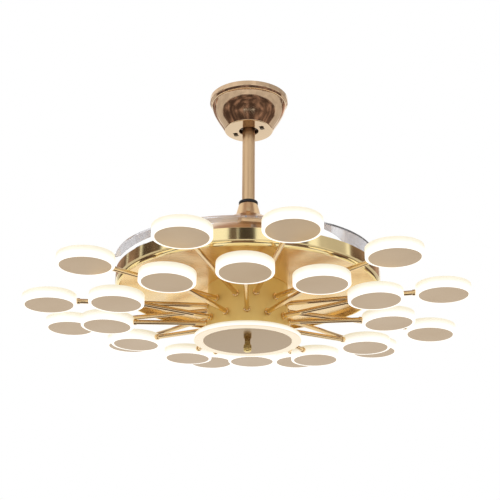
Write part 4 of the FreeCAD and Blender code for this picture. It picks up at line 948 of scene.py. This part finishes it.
class FAN_OT_stage(bpy.types.Operator):
    """Set the camera, the pale floor and the soft light"""

    bl_idname = "fan.stage"
    bl_label = "Stage"

    def execute(self, context):
        stage = context.scene.fan_stage
        context.scene.view_settings.view_transform = "Standard"
        deselect()
        turn = Matrix.Rotation(-stage.turn, 4, "Z") @ Matrix.Rotation(math.pi / 2 + stage.tilt, 4, "X")
        turn = turn @ Matrix.Rotation(stage.roll, 4, "Z")
        bpy.ops.object.camera_add()
        camera = context.object
        camera.matrix_world = Matrix.Translation(stage.eye) @ turn
        camera.data.lens = stage.lens
        camera.data.sensor_width = SENSOR_MM
        context.scene.camera = camera
        self.floor(stage)
        self.world(context, stage)
        self.lights(stage)
        return {"FINISHED"}

    def floor(self, stage):
        """A wide pale floor far below the fan, bright where polished metal mirrors it."""
        deselect()
        bpy.ops.mesh.primitive_plane_add(size=FLOOR_SIZE, location=(0, 0, stage.floor_level))
        floor = bpy.context.object
        floor.name = "floor"
        finish = Finish("pale_floor")
        path = finish.node("ShaderNodeLightPath", "Is Glossy Ray", {}, {})
        speck = finish.noise(scale=3.0, detail=2.0)
        matte = finish.node("ShaderNodeBsdfDiffuse", 0, {}, {"Color": finish.blend(speck, *FLOOR_TINTS)})
        patch = finish.noise(scale=1.6, detail=1.0)
        sheen = finish.ramp(patch, SHEEN_STEPS, SHEEN_SHADES)
        pale = finish.node("ShaderNodeEmission", 0, {}, {"Color": sheen, "Strength": 1.0})
        mixed = finish.node("ShaderNodeMixShader", 0, {}, {0: path, 1: matte, 2: pale})
        floor.data.materials.append(finish.shown(mixed))

    def world(self, context, stage):
        """Even light from all round, white where the camera, metal or glass sees it."""
        world = bpy.data.worlds.new("studio")
        context.scene.world = world
        nodes = Nodes(world)
        camera, glossy, through = (nodes.node("ShaderNodeLightPath", f"Is {ray} Ray", {}, {})
                                   for ray in ("Camera", "Glossy", "Transmission"))
        strength = nodes.node("ShaderNodeMapRange", 0, {}, {
            "Value": camera.larger(glossy.larger(through)), "To Min": stage.fill, "To Max": 1.0})
        background = nodes.node("ShaderNodeBackground", 0, {}, {"Color": WHITE, "Strength": strength})
        nodes.node("ShaderNodeOutputWorld", None, {}, {"Surface": background})

    def lights(self, stage):
        """Two soft boxes, and the flags that polished metal mirrors."""
        for name, place, share in SOFT_BOXES:
            bpy.ops.object.light_add(type="AREA")
            box = bpy.context.object
            box.name = name
            spot = Vector(place)
            box.matrix_world = facing(spot, spot - SOFT_BOX_AIM)
            box.data.energy = stage.key * share
            box.data.size = SOFT_BOX_SIZE
            box.visible_glossy = False
        for number, (heading, width, shade, soft) in enumerate(HIGH_FLAGS, start=1):
            place = self.upright(heading, width, HIGH_FLAG_FOOT, HIGH_FLAG_TOP)
            self.flag(f"high_flag_{number}", place, shade, soft)
        for ring, low, high, shades in RING_FLAGS:
            for number, (heading, shade) in enumerate(zip(RING_HEADINGS, shades), start=1):
                self.flag(f"{ring}_{number}", self.upright(heading, RING_WIDTH, low, high), shade)
        for number, (reach, height, shade) in enumerate(FLAT_FLAGS, start=1):
            shape = Matrix.Diagonal((2 * reach, 2 * reach, 1, 1))
            self.flag(f"flat_flag_{number}", Matrix.Translation(UP * height) @ shape, shade)

    def upright(self, heading, width, low, high):
        """The place of an upright flag that faces the fan from a heading."""
        out = Vector((math.sin(math.radians(heading)), -math.cos(math.radians(heading)), 0))
        turn = Matrix((UP.cross(out), UP, out)).transposed().to_4x4()
        shape = Matrix.Diagonal((2 * FLAG_REACH * math.tan(math.radians(width / 2)), high - low, 1, 1))
        return Matrix.Translation(out * FLAG_REACH + UP * (low + high) / 2) @ turn @ shape

    def flag(self, name, place, shade, soft=0.0):
        """A cloth that only polished metal sees, fading to white over a soft share at its sides."""
        deselect()
        bpy.ops.mesh.primitive_plane_add(size=1)
        flag = bpy.context.object
        flag.name = name
        flag.data.transform(place)
        finish = Finish(name + "_cloth")
        stretched = finish.node("ShaderNodeVectorMath", 0, {"operation": "MULTIPLY"}, {
            0: finish.spots(), 1: FOLD_STRETCH})
        folds = finish.noise(scale=1.1, detail=3.0, vector=stretched)
        swing, cast = DARK_FOLDS if shade < PALE_SHADE else PALE_FOLDS
        dark, plain, light = (tuple(tone * value for value in cast) for tone in (
            shade / swing, shade, shade * swing))
        tint = finish.ramp(folds, FOLD_STEPS, (dark, dark, plain, light))
        if soft:
            across = finish.node("ShaderNodeTexCoord", "UV", {}, {})
            side = finish.node("ShaderNodeSeparateXYZ", 0, {}, {0: across}) * 2.0 - 1.0
            fade = finish.node("ShaderNodeMapRange", 0, {"interpolation_type": "SMOOTHSTEP"}, {
                "Value": side * side, "From Min": (1 - soft) ** 2, "From Max": 1.0})
            tint = finish.blend(fade, tint, WHITE)
        glow = finish.node("ShaderNodeEmission", 0, {}, {"Color": tint, "Strength": 1.0})
        flag.data.materials.append(finish.shown(glow))
        flag.visible_camera = flag.visible_diffuse = flag.visible_shadow = flag.visible_transmission = False


class FAN_PT_builder(bpy.types.Panel):
    """Lists the fan's settings and pieces in the sidebar"""

    bl_idname = "FAN_PT_builder"
    bl_label = "Ceiling Fan"
    bl_space_type = "VIEW_3D"
    bl_region_type = "UI"
    bl_category = "Fan"

    def draw(self, context):
        for name, group in GROUPS.items():
            for setting in group.__annotations__:
                self.layout.prop(getattr(context.scene, name), setting)
        for operator in OPERATORS:
            self.layout.operator(operator.bl_idname)


GROUPS = {"fan_sizes": FanSizes, "fan_colours": FanColours, "fan_stage": FanStage}
OPERATORS = (FAN_OT_canopy, FAN_OT_downrod, FAN_OT_motor_cover, FAN_OT_drum, FAN_OT_hub, FAN_OT_rods,
             FAN_OT_lamps, FAN_OT_centre_lamp, FAN_OT_blades, FAN_OT_workings, FAN_OT_stage)


def register():
    """Add the settings, the operators and the panel."""
    for item in (*GROUPS.values(), *OPERATORS, FAN_PT_builder):
        bpy.utils.register_class(item)
    for name, group in GROUPS.items():
        setattr(bpy.types.Scene, name, PointerProperty(type=group))


def unregister():
    """Take the settings, the operators and the panel away."""
    for name in GROUPS:
        delattr(bpy.types.Scene, name)
    for item in reversed((*GROUPS.values(), *OPERATORS, FAN_PT_builder)):
        bpy.utils.unregister_class(item)


def main():
    """Model every piece in order."""
    register()
    for operator in OPERATORS:
        group, name = operator.bl_idname.split(".")
        getattr(getattr(bpy.ops, group), name)()


if __name__ == "__main__":
    main()
